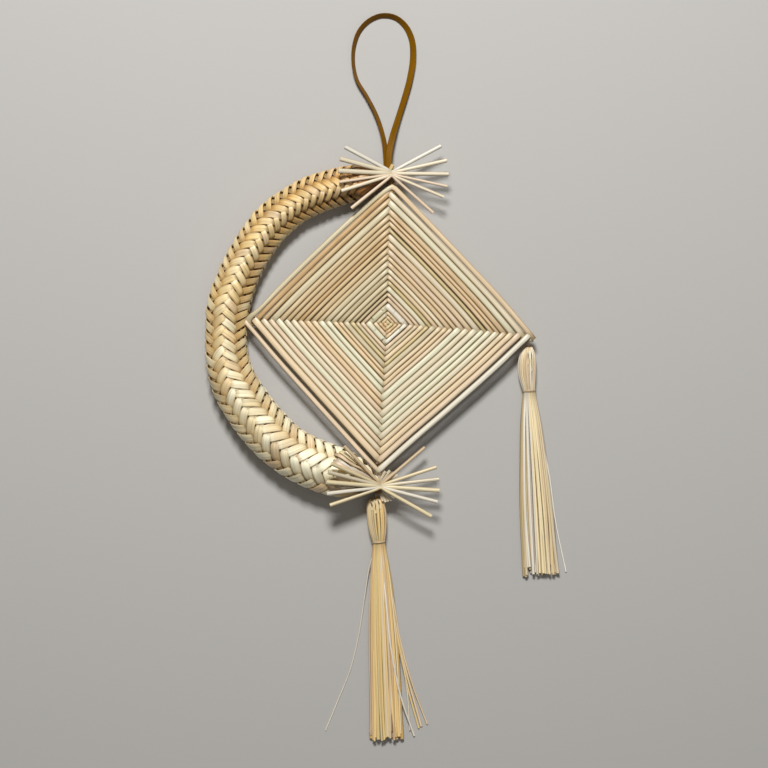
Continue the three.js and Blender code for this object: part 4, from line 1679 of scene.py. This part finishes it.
class Weave:
    """Where the plait's strips run and how they look, worked out at each of their points."""

    low = 1.17 * MM  # no strip's middle lies lower

    def __init__(self, bench: NodeBench, guide: Wire, given: dict[str, Wire]) -> None:
        """Works out where in the weave and on the tube a point is.

        Args:
            bench: the bench of the tree.
            guide: the plait's middle line.
            given: the tree's inputs by name.
        """
        self.bench, self.guide, self.given = bench, guide, given
        self.number, self.travel = bench.named("number", "FLOAT"), bench.named("travel", "FLOAT")
        strands = given["Strands"]
        # Half of the strips wind one way and half the other.
        self.second = (self.number / strands).apply("FLOOR")
        way = 1 - self.second * 2
        self.step = 360.0 / strands
        start = (1 - self.second) * self.step * 0.5
        self.turn = way * (self.number % strands + self.travel) * self.step + start
        place = bench.joined(self.travel * 0.45, self.number * 7.3, 2.0)
        strays = bench.noise(place, 1.0, 1.0) - 0.5
        radians = (self.turn + strays * given["Wander"]) * (math.pi / 180)
        # From -1 under the strips that cross it to 1 over them, and 1 on the ridges.
        phase = (self.turn - given["Overlap"]) * (math.pi / 180) * (strands / 2)
        self.over = (phase.apply("SINE") * 2.4).clamped(-1.0, 1.0) * way
        self.crest = (radians * (strands / 2)).apply("COSINE")
        # From 0 at the upper tip to 1 at the lower, and the same with the pitch opening out.
        self.share = self.travel / given["Pitches"]
        self.upper = ((0.48 - self.share) * 4.0).clamped()
        self.factor = self.share * (1 - given["Opening"] * (1 - self.share))
        # The sine is 1 at the crescent's outer edge, and the cosine is 1 on top.
        radians = radians - self.upper * given["Twist"] * (math.pi / 180)
        self.sine, self.cosine = radians.apply("SINE"), radians.apply("COSINE")
        girth = self._read("girth_across")
        self.fade = (girth / (5.0 * MM)).clamped()
        self.across = girth - given["Inset"] * self.fade
        self.up = self._read("girth_up") - given["Inset"] * self.fade * 0.5
        self.middle = self._read("girth_up", output="Position")
        heading = self._read("girth_up", output="Tangent")
        self.outward = heading.cross(bench.joined(0.0, 0.0, 1.0)).unit()

    def _read(self, name: str, output: int | str = 0) -> Wire:
        """Reads the guide where the strip has got to.

        Args:
            name: the attribute to read.
            output: the output of the reading node.

        Returns:
            The reading.
        """
        settings = {"mode": "FACTOR", "data_type": "FLOAT", "use_all_curves": True}
        value = self.bench.named(name, "FLOAT")
        sockets = {"Curves": self.guide, "Value": value, "Factor": self.factor}
        return self.bench.add("GeometryNodeSampleCurve", settings, sockets, output)

    def laid(self, strips: Wire) -> Wire:
        """Moves the counted strips into the weave.

        Args:
            strips: curves whose points know their strip's number and their travel in pitches.

        Returns:
            The curves in place, with what the skin and the finish read.
        """
        bench = self.bench
        sockets = {"Geometry": strips, "Position": self._position()}
        strips = bench.add("GeometryNodeSetPosition", None, sockets)
        upright = bench.joined(0.0, 0.0, self.cosine * self.across)
        facing = (self.outward * (self.sine * self.up) + upright).unit()
        patch = self._patch()
        # Painted shade where a strip passes under the strips that cross it, and darker towards the
        # upper tip.
        tucked_shade = ((0.3 - self.share) * 0.55).clamped() + (0.1 - self.over * 0.8).clamped()
        columns = (
            ("facing", "FLOAT_VECTOR", facing),
            ("half_width", "FLOAT", self._half_width()),
            ("half_height", "FLOAT", self.given["Half height"]),
            ("tint", "FLOAT_VECTOR", self._tint(patch)),
            ("seed", "FLOAT", self.number * 0.37),
            ("tucked_shade", "FLOAT", tucked_shade),
            ("stained", "FLOAT", patch * 0.6),
        )
        for name, kind, value in columns:
            strips = bench.store(strips, name, kind, value)
        return strips

    def _position(self) -> Wire:
        """Works out where the strip's middle line runs, never under the table.

        Returns:
            The point.
        """
        bench, given = self.bench, self.given
        edge = ((self.sine.apply("ABSOLUTE") - 0.6) * 3.0).clamped() * self.over.clamped()
        edge = edge * (1 + (0 - self.sine).clamped() * 1.2)
        ripple = self.crest * given["Ridge"]
        height = (self.over * given["Lift"] + ripple + edge * given["Teeth"]) * self.fade
        flat = self.middle + self.outward * (self.sine * (self.across + height))
        upright = self.cosine * (self.up + height)
        level = bench.add("ShaderNodeSeparateXYZ", None, {0: self.middle}, output=2) + upright
        gap = (self.low - level).apply("MAXIMUM", 0.0)
        dip = self.over * (gap * 0.3).apply("MINIMUM", self.low * 0.5)
        return flat + bench.joined(0.0, 0.0, upright + gap - dip)

    def _half_width(self) -> Wire:
        """Works out half the strip's width, which follows the pitch and the slope of its turns.

        Returns:
            The half width.
        """
        given = self.given
        around = (self.across + self.up) * math.pi
        pitch = given["Pitch"] * (1 + self.sine * self.across / given["Radius"])
        pitch = pitch * (1 - given["Opening"] * (1 - self.share * 2))
        climb = given["Strands"] * pitch
        slope = around / (around * around + climb * climb).apply("SQRT")
        place = self.bench.joined(self.travel * 0.4, self.number * 3.1, 9.0)
        breadth = self.bench.noise(place, 1.0, 1.0) * 0.2 + 0.9
        half_width = slope * pitch * 0.5 * given["Coverage"] * (0.92 + self.over * 0.08) * breadth
        half_width = half_width * (1 + self.sine.clamped() * 0.07)
        return half_width * (1 - self.second * self.upper * given["Slimmer"])

    def _patch(self) -> Wire:
        """Draws a number from 0 to 1 for each stretch of strip that shows.

        Returns:
            The number.
        """
        crossing = ((self.turn + 720.0) / (2 * self.step)).apply("FLOOR")
        sockets = {"ID": self.number * 97.0 + crossing, "Seed": 5}
        settings = {"data_type": "FLOAT"}
        return self.bench.add("FunctionNodeRandomValue", settings, sockets, output=1)

    def _tint(self, patch: Wire) -> Wire:
        """Colours the strips: dull gold at the upper tip and paler towards the lower.

        Args:
            patch: the number of the stretch of strip.

        Returns:
            The colour, darker and browner in the valleys of the weave with painted shade.
        """
        bench, place = self.bench, self.factor
        gold, pale = linear(238, 210, 152), linear(255, 248, 216)
        rosy, warm, rust = linear(234, 208, 174), linear(214, 174, 112), linear(180, 116, 52)
        paler = ((place - 0.4) * 2.0 + (patch - 0.5) * 1.1).clamped()
        warmer = ((0.26 - place) * 4.5).clamped() * (0.4 + patch * 0.4)
        colour = bench.mix(paler, gold, pale)
        colour = bench.mix(((0.25 - patch) * 5.0).clamped() * 0.6, colour, rosy)
        colour = bench.mix(warmer, colour, warm)
        colour = bench.mix(((0.1 - place) * 12.0).clamped() * 0.7, colour, rust)
        colour = colour * (0.94 + (patch * 7.0 % 1.0) * 0.16 + place * 0.1)
        valley = 0.5 - self.crest * 0.5
        # Painted shade in the valleys of the weave, less towards the lower tip.
        valley_shade = valley * valley * (0.8 - self.share * 0.55)
        colour = bench.mix(valley_shade, colour, colour * (0.9, 0.75, 0.48))
        # Deeper painted shade right in the grooves.
        fold = valley**8.0 * (0.75 - self.share * 0.45)
        return bench.mix(fold, colour, colour * (0.5, 0.36, 0.16))


# ---- the fans


@dataclass
class StalkFan:
    """Six thin stalks crossed and pinched at one point, spread like two fans."""

    name: str
    centre: tuple[float, float]
    left: tuple[float, ...]  # degrees above level, from the top stalk down
    right: tuple[float, ...]
    left_reach: float  # how far out the free ends are
    right_reach: float
    shades: str
    left_halves: tuple[float, ...]
    right_halves: tuple[float, ...]
    knot: float  # how far apart the first and last cross
    z: float = 8.2  # the first stalk's height
    pinch_half: float = 0.58  # half of each stalk's width and height where it is pinched
    pinch_height: float = 0.28
    layer: float = 0.55  # how much higher each stalk lies than the last
    free_droop: float = 0.4  # how far the right ends hang
    solid_half: float = 0.72  # half the thickness of the solid stalks
    # Along each half: share of the way out, size against the end's and how much painted shade it
    # has.
    taper: tuple[Row, ...] = ((1.0, 1.0, 0.0), (0.6, 0.97, 0.0), (0.3, 0.9, 0.0), (0.1, 0.82, 0.05))

    def build(self, maker: StrandMaker, straw: bpy.types.Material) -> list[bpy.types.Object]:
        """Makes each stalk as a piece of its own.

        Args:
            maker: what skins them.
            straw: the finish.

        Returns:
            The six stalks.
        """
        rng = random.Random(7)
        pieces = []
        for index in range(len(self.left)):
            node = f"{self.name}_{index + 1}"
            stalk = self._stalk(index, node, rng)
            piece = maker.make(f"straw_{node}", [stalk], straw, Section(14))
            pieces.append(settle(piece, "fan_straw", node))
        return pieces

    def _stalk(self, index: int, node: str, rng: random.Random) -> Strand:
        """Makes one stalk, its left half resting as high as the solid's does.

        Args:
            index: its place in the fan, from the top.
            node: the solid node that it replaces.
            rng: the source of variation.

        Returns:
            The stalk.
        """
        middle = np.array([*self.centre, self.z + index * self.layer])
        left = math.radians(180 - self.left[index])
        right = math.radians(self.right[index])
        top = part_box(node)[1].z / MM - self.solid_half
        left_end = middle + self.left_reach * np.array([math.cos(left), math.sin(left), 0])
        left_end[2] = max(top, middle[2])
        right_end = middle + self.right_reach * np.array([math.cos(right), math.sin(right), 0])
        right_end[2] = middle[2] - self.free_droop
        middle[1] += self.knot * (0.5 - index / (len(self.left) - 1))
        rows = self._half_rows(middle, left_end, self.left_halves[index])
        # Painted shade where the stalks are pinched together.
        rows.append([*middle, self.pinch_half, self.pinch_height, 0.2])
        rows += reversed(self._half_rows(middle, right_end, self.right_halves[index]))
        letter = self.shades[index]
        tint = varied(Tone(letter.lower()).colour, rng, 0.04)
        strand = Strand.through(rows, 44, tint, rng.random())
        strand.stained = 1.0 if letter.isupper() else 0.3
        return strand

    def _half_rows(self, middle: np.ndarray, end: np.ndarray, half: float) -> list[list[float]]:
        """Lists the rows of half a stalk.

        Args:
            middle: where it is pinched.
            end: its free end.
            half: half its width there.

        Returns:
            The rows, from the free end inwards.
        """
        return [
            [*(middle + (end - middle) * share), half * size, half * size * 0.85, tucked_shade]
            for share, size, tucked_shade in self.taper
        ]


# ---- the tassels


@dataclass
class StrawTassel:
    """Split straws folded over at the top, tied into a head and spread into a skirt."""

    name: str
    neck: Row  # where the head's shank starts, on the stalk above it
    top: tuple[float, float]
    tie: tuple[float, float]
    foot: tuple[float, float]
    foot_half: float  # half the skirt's width at its foot
    seed: int
    head_shades: str
    skirt_shades: str  # from left to right
    # Half the head's width at shares of the way from its top to its tie.
    swell: tuple[tuple[float, float], ...]
    # Loose fibres: shade and half width, then points down to the free end.
    strays: tuple[tuple[str | float | Row, ...], ...] = ()
    bow: float = 0.0  # how far the head's middle swings to the right
    strips: int = 48
    ribs: int = 45
    head_squash: float = 0.9  # the head's height against its width
    clearance: float = 0.32  # how far its middle splints lie above the table
    bleach: float = 1.16  # how much paler the splints are than their shades
    # Folds that stand open at the head's top: two points of the opening, each how far aside
    # and at what share of the way down, and its half width.
    open_folds: tuple[tuple[Row, Row, float], ...] = ()
    fold_shade: str = "u"

    def build(
        self, maker: StrandMaker, straw: bpy.types.Material, thread: bpy.types.Material
    ) -> list[bpy.types.Object]:
        """Makes the head, the tie and the skirt.

        Args:
            maker: what skins the strips.
            straw: the finish of the head and the skirt.
            thread: the finish of the tie.

        Returns:
            The three pieces.
        """
        rng = random.Random(self.seed)
        flat = Section(8, camber=0.12, squareness=0.6, unevenness=0.15)
        name = self.name
        head = maker.make(f"folded_{name}_head", self._head(rng), straw, Section(10, camber=0.2))
        tie = maker.make(f"thread_{name}_tie", [self._turns()], thread, Section(8))
        skirt = maker.make(f"split_{name}_skirt", self._skirt(rng), straw, flat)
        return [
            settle(head, "tassel_straw", f"{name}_head"),
            settle(tie, "tie_thread", f"{name}_tie"),
            settle(skirt, "tassel_straw", f"{name}_skirt"),
        ]

    @property
    def rest(self) -> float:
        """The height of the head's middle line."""
        return max(half for _, half in self.swell) * self.head_squash + self.clearance

    @property
    def down(self) -> np.ndarray:
        """The direction from the head's top to its tie."""
        return unit(np.array([self.tie[0] - self.top[0], self.tie[1] - self.top[1], 0.0]))

    @property
    def aside(self) -> np.ndarray:
        """The level direction across the head, to the right."""
        return np.array([-self.down[1], self.down[0], 0.0])

    def _out(self, turn: float) -> np.ndarray:
        """Returns the way out of the head at an angle round it, in radians from its right side."""
        return self.aside * math.cos(turn) + UP * math.sin(turn) * self.head_squash

    def _middle(self, share: float) -> np.ndarray:
        """Finds a point of the head's middle line.

        Args:
            share: how far down the head it is, from 0 at the top to 1 at the tie.

        Returns:
            The point.
        """
        length = math.dist(self.top, self.tie)
        swing = self.bow * math.sin(math.pi * min(1.0, max(0.0, share)))
        return np.array([*self.top, self.rest]) + self.down * length * share + self.aside * swing

    def _tint(self, letter: str, rng: random.Random) -> Rgb:
        """Returns a splint's colour, paler than its shade."""
        red, green, blue = varied(Tone(letter).colour, rng, 0.09)
        return (red * self.bleach, green * self.bleach, blue * self.bleach)

    def _head(self, rng: random.Random) -> list[Strand]:
        """Makes the head's splints, folded over at the top, round a filling.

        Args:
            rng: the source of variation.

        Returns:
            The splints, the filling and the shank.
        """
        strands = [self._rib(rib, rng) for rib in range(self.ribs)]
        for fold in self.open_folds:
            strands += self._open_fold(fold, rng)
        # The filling inside the splints is in deep painted shade.
        rows = []
        for share, half in self.swell[1:]:
            half = max(0.3, half - 0.42)
            rows.append([*self._middle(share), half, half * self.head_squash, 0.9])
        strands.append(Strand.through(rows, 14, Tone.HONEY.colour, 0.3))
        neck, crown = np.array(self.neck), self._middle(0.0)
        # The shank, with painted shade.
        rows = [
            [*neck, 0.6, 0.4, 0.5],
            [*((neck + crown) / 2), 0.6, 0.4, 0.3],
            [*(crown + self.down * 2.0), 0.6, 0.5, 0.6],
        ]
        strands.append(Strand.through(rows, 10, Tone.TAN.colour, 0.6))
        return strands

    def _rib(self, rib: int, rng: random.Random) -> Strand:
        """Makes one of the splints that lie side by side round the head, in three layers.

        Args:
            rib: its number round the head.
            rng: the source of variation.

        Returns:
            The splint.
        """
        layer = rib % 3
        turn = math.tau * (rib + rng.uniform(-0.3, 0.3)) / self.ribs
        out = self._out(turn)
        raised = rng.uniform(-0.02, 0.02)
        slant = rng.uniform(-0.35, 0.35)
        thick = rng.uniform(0.65, 1.2)
        rows = []
        for step, (share, half) in enumerate(self.swell):
            far = share + (raised if step < 3 else 0)
            drift = slant * math.sin(math.pi * share) * abs(math.sin(turn))
            place = self._middle(far) + out * (half - 0.12 * layer) + self.aside * drift
            # Painted shade at the fold over the top, near the tie and on the inner layers.
            tucked_shade = 0.7 if step == 0 else 0.2 * (share > 0.9) + 0.1 * layer
            rows.append([*place, (0.13 + 0.065 * half) * thick, 0.26, tucked_shade])
        tint = self._tint(rng.choice(self.head_shades), rng)
        return Strand.through(rows, 20, tint, rng.random(), unit(out))

    def _on_head(self, aside: float, share: float, lift: float) -> np.ndarray:
        """Finds a point on the head's upper side.

        Args:
            aside: how far to the right of the middle it is.
            share: how far down the head it is, from 0 to 1.
            lift: how far above the splints it is.

        Returns:
            The point.
        """
        shares, halves = zip(*self.swell[2:])
        half = float(np.interp(share, shares, halves))
        across = min(abs(aside), half * 0.95)
        high = self.head_squash * math.sqrt(half * half - across * across) + lift
        return self._middle(share) + self.aside * aside + UP * high

    def _open_fold(self, fold: tuple[Row, Row, float], rng: random.Random) -> list[Strand]:
        """Makes a splint folded back on itself at the head's top, open between its legs.

        Args:
            fold: the opening's two ends and its half width.
            rng: the source of variation.

        Returns:
            The folded splint and the shade inside it.
        """
        (top, high), (bottom, low), half = fold
        middle, centre = (top + bottom) / 2, (high + low) / 2
        reach = (low - high) * 0.9
        line = (
            (bottom - half * 0.4, low + reach), (middle - half - 0.25, centre + reach * 0.2),
            (top - half * 0.8 - 0.1, high), (top, high - 0.03), (top + half * 0.8 + 0.1, high),
            (middle + half + 0.25, centre + reach * 0.2), (bottom + half * 0.9, low + reach),
        )
        rows = [[*self._on_head(aside, share, 0.26), 0.2, 0.24, 0.0] for aside, share in line]
        splint = Strand.through(rows, 30, self._tint(self.fold_shade, rng), rng.random())
        # A dark brown strip inside the opening is its painted shade.
        rows = [
            [*self._on_head(top, high, 0.16), half * 0.4, 0.2, 0.9],
            [*self._on_head(middle, centre, 0.2), half, 0.2, 0.9],
            [*self._on_head(bottom, low, 0.16), half * 0.2, 0.2, 0.9],
        ]
        return [splint, Strand.through(rows, 8, Tone.BROWN.colour, 0.5)]

    def _turns(self) -> Strand:
        """Makes the turns of thread round the tie.

        Returns:
            The thread.
        """
        middle = np.array([*self.tie, self.rest])
        around = self.swell[-1][1] + 0.2
        turns, steps, half = 2, 28, 0.18
        rows, facing = [], []
        for step in range(turns * steps + 1):
            out = self._out(math.tau * step / steps)
            shift = (step / (turns * steps) - 0.5) * 2 * half * turns
            rows.append([*(middle + self.down * shift + out * around), half, half, 0.0])
            facing.append(unit(out))
        return Strand(np.array(rows), Tone.TAN.colour, 0.1, np.array(facing))

    def _skirt(self, rng: random.Random) -> list[Strand]:
        """Makes what hangs below the tie.

        Args:
            rng: the source of variation.

        Returns:
            The split straws and the loose fibres.
        """
        strands = [self._strip(index, rng) for index in range(self.strips)]
        for letter, half, *line in self.strays:
            points = ((*self.tie, self.rest), *line)
            rows = [[*point, half, min(half, 0.15), 0.0] for point in points]
            strands.append(Strand.through(rows, 34, self._tint(letter, rng), rng.random()))
        return strands

    def _strip(self, index: int, rng: random.Random) -> Strand:
        """Makes one split straw of the skirt, which is wider and flatter towards the foot.

        Args:
            index: its number, from left to right.
            rng: the source of variation.

        Returns:
            The split straw.
        """
        layer, share = index % 3, (index + 0.5) / self.strips
        spread = (rng.uniform(-0.07, 0.07) + (share * 2 - 1)) * (1 - 0.05 * layer)
        short = rng.uniform(-0.1, 1.8) if rng.random() < 0.8 else rng.uniform(2, 5)
        half = rng.choice((0.35, 0.45, 0.5, 0.6, 0.75))
        lean = rng.uniform(-0.6, 0.6)
        flick = rng.uniform(-0.5, 0.5) + spread * 0.4
        start = np.array([*self.tie, self.rest]) + self.down * 0.3
        fall = np.array([*self.foot, 0.0]) - start
        length = float(np.linalg.norm(fall[:2]))
        aside = np.array([-fall[1], fall[0], 0.0]) / length
        foot = self.foot_half
        rows = []
        # Each row is the share of the way down, half the skirt's width and half its height.
        for along, reach, height in (
            (0.0, 2.35, 2.1), (0.05, 2.9, 2.1), (0.15, 3.9, 2.2), (0.35, 5.2, 2.0),
            (0.7, foot - 0.9, 1.6), (0.86, foot - 0.7, 1.4), (1.0, foot - 0.6, 1.3),
        ):
            drop = max(height + 0.5, self.rest * (1 - 4 * along))
            rise = (layer - 1) * height * math.sqrt(max(0.05, 1 - spread * spread)) * 0.85
            swing = spread * reach + lean * math.sin(math.pi * along)
            swing += flick * max(0.0, along - 0.8) * 5
            place = start + fall * (along * (1 - short / length)) + aside * swing
            place[2] = max(0.35, drop + rise)
            # Painted shade where the strip leaves the tie and on the lower layers.
            tucked_shade = 0.25 if along < 0.04 else 0.22 * (2 - layer)
            rows.append([*place, min(half, 0.42 + 1.2 * along), 0.13, tucked_shade])
        letter = self.skirt_shades[int(share * len(self.skirt_shades))]
        if rng.random() < 0.2:
            letter = rng.choice(self.skirt_shades)
        tint = self._tint(letter, rng)
        facing = unit(aside * rng.uniform(-0.4, 0.4) + UP)
        strand = Strand.through(rows, 22, tint, rng.random(), facing)
        strand.stained = rng.uniform(0.0, 0.6)
        return strand


# ---- the whole ornament


FANS = (
    StalkFan(
        name="upper_fan_stalk",
        centre=(1.5, 63.8),
        left=(29, 15, 2, -10, -19.5, -41),
        right=(30, 14, 0, -12.6, -24, -43.4),
        left_reach=22.3,
        right_reach=23.9,
        shades="whhphp",
        left_halves=(0.92, 1.0, 1.06, 0.66, 0.82, 0.76),
        right_halves=(0.86, 0.86, 0.9, 0.62, 0.7, 0.7),
        knot=1.9,
    ),
    StalkFan(
        name="lower_fan_stalk",
        centre=(-3.0, -67.1),
        left=(48, 25.6, 16, 5.4, -7.2, -20.2),
        right=(41.3, 18.8, 6.8, -4.3, -15.5, -30.9),
        left_reach=22.7,
        right_reach=24.6,
        shades="tuhuwu",
        left_halves=(0.74, 0.78, 0.84, 1.0, 0.88, 0.86),
        right_halves=(0.72, 0.78, 0.82, 0.94, 0.8, 0.86),
        knot=1.3,
    ),
)

TASSELS = (
    StrawTassel(
        name="lower_tassel",
        neck=(-4.7, -70.4, 5.2),
        top=(-5.4, -72.6),
        tie=(-3.9, -91.0),
        foot=(-0.6, -174.9),
        foot_half=7.2,
        seed=11,
        head_shades="duydcydtud",
        skirt_shades="cdyddynuucdcdodtn",
        swell=(
            (0.1, 1.2), (0.02, 1.6), (0.005, 2.3), (0.03, 3.0), (0.1, 3.5), (0.25, 3.85),
            (0.5, 3.85), (0.78, 3.25), (0.98, 2.45),
        ),
        strays=(
            ("c", 0.5, (1.3, -115.0, 2.8), (4.2, -131.9, 2.2), (8.4, -148.7, 1.4),
             (14.1, -169.3, 0.5)),
            ("t", 0.35, (2.1, -115.0, 2.6), (5.0, -131.9, 2.0), (10.1, -150.8, 1.2),
             (16.6, -168.4, 0.5)),
            ("d", 0.4, (1.4, -116.0, 2.4), (4.6, -134.0, 2.2), (8.4, -152.9, 1.4),
             (13.0, -170.1, 0.5)),
            ("w", 0.42, (-1.3, -110.9, 4.4), (1.3, -136.0, 4.0), (5.0, -155.0, 3.0),
             (11.1, -173.4, 0.6)),
            ("h", 0.35, (3.4, -130.0, 2.2), (8.2, -155.0, 1.2), (9.2, -171.0, 0.5)),
            ("w", 0.25, (-7.0, -98.3, 2.6), (-9.8, -113.6, 1.2), (-12.3, -129.8, 0.5),
             (-16.3, -146.0, 0.28), (-21.1, -158.0, 0.28), (-26.5, -171.0, 0.28)),
        ),
        open_folds=(
            ((-1.9, 0.07), (-1.5, 0.17), 0.36),
            ((1.0, 0.04), (1.5, 0.14), 0.4),
            ((-0.3, 0.06), (-0.2, 0.2), 0.16),
        ),
    ),
    StrawTassel(
        name="corner_tassel",
        neck=(58.9, -6.0, 5.0),
        top=(59.1, -8.5),
        tie=(59.5, -27.2),
        foot=(64.7, -105.5),
        foot_half=7.9,
        seed=5,
        head_shades="ucthkwdu",
        skirt_shades="ychwwwwwhuyuyuuycuyc",
        swell=(
            (0.06, 0.3), (0.01, 0.7), (0.02, 1.4), (0.09, 2.4), (0.22, 3.2), (0.42, 3.6),
            (0.62, 3.45), (0.82, 2.9), (0.98, 2.4),
        ),
        strays=(("w", 0.3, (68.0, -62.0, 2.2), (71.2, -84.0, 1.0), (75.4, -103.8, 0.45)),),
        bow=-0.8,
        open_folds=(((0.9, 0.07), (2.1, 0.32), 0.3), ((0.1, 0.14), (0.3, 0.28), 0.18)),
    ),
)


def main() -> None:
    """Builds the studio and the ornament's pieces in order, and reports each piece."""
    logging.basicConfig(level=logging.INFO, format="%(name)s: %(message)s")
    Studio().build()
    maker, square = StrandMaker(), WoundSquare()
    satin = SatinFinish("mustard_satin", linear(92, 58, 0), linear(150, 104, 10)).make()
    wound = StrawFinish("wound_straw", edge=0.6, deep=(0.68, 0.56, 0.3)).make()
    plaited = StrawFinish(
        "plaited_straw", grain=0.26, shadow=0.5, edge=0.45, roughness=0.46, coat=0.12, relief=0.8,
        crease=0.22,
    ).make()
    splints = StrawFinish("split_straw", grain=0.24, roughness=0.42, crease=0.16).make()
    thread = StrawFinish("tie_thread", grain=0.1, stain=0.1).make()
    pieces = [RibbonLoop().build(maker, satin)]
    pieces += CrossedStalks().build(maker, wound, square)
    pieces += square.build(maker, wound)
    pieces.append(Crescent().build(maker, plaited))
    for fan in FANS:
        pieces += fan.build(maker, wound)
    for tassel in TASSELS:
        pieces += tassel.build(maker, splints, thread)
    for piece in pieces:
        log.info("%s: %d faces", piece.name, len(piece.data.polygons))


if __name__ == "__main__":
    main()
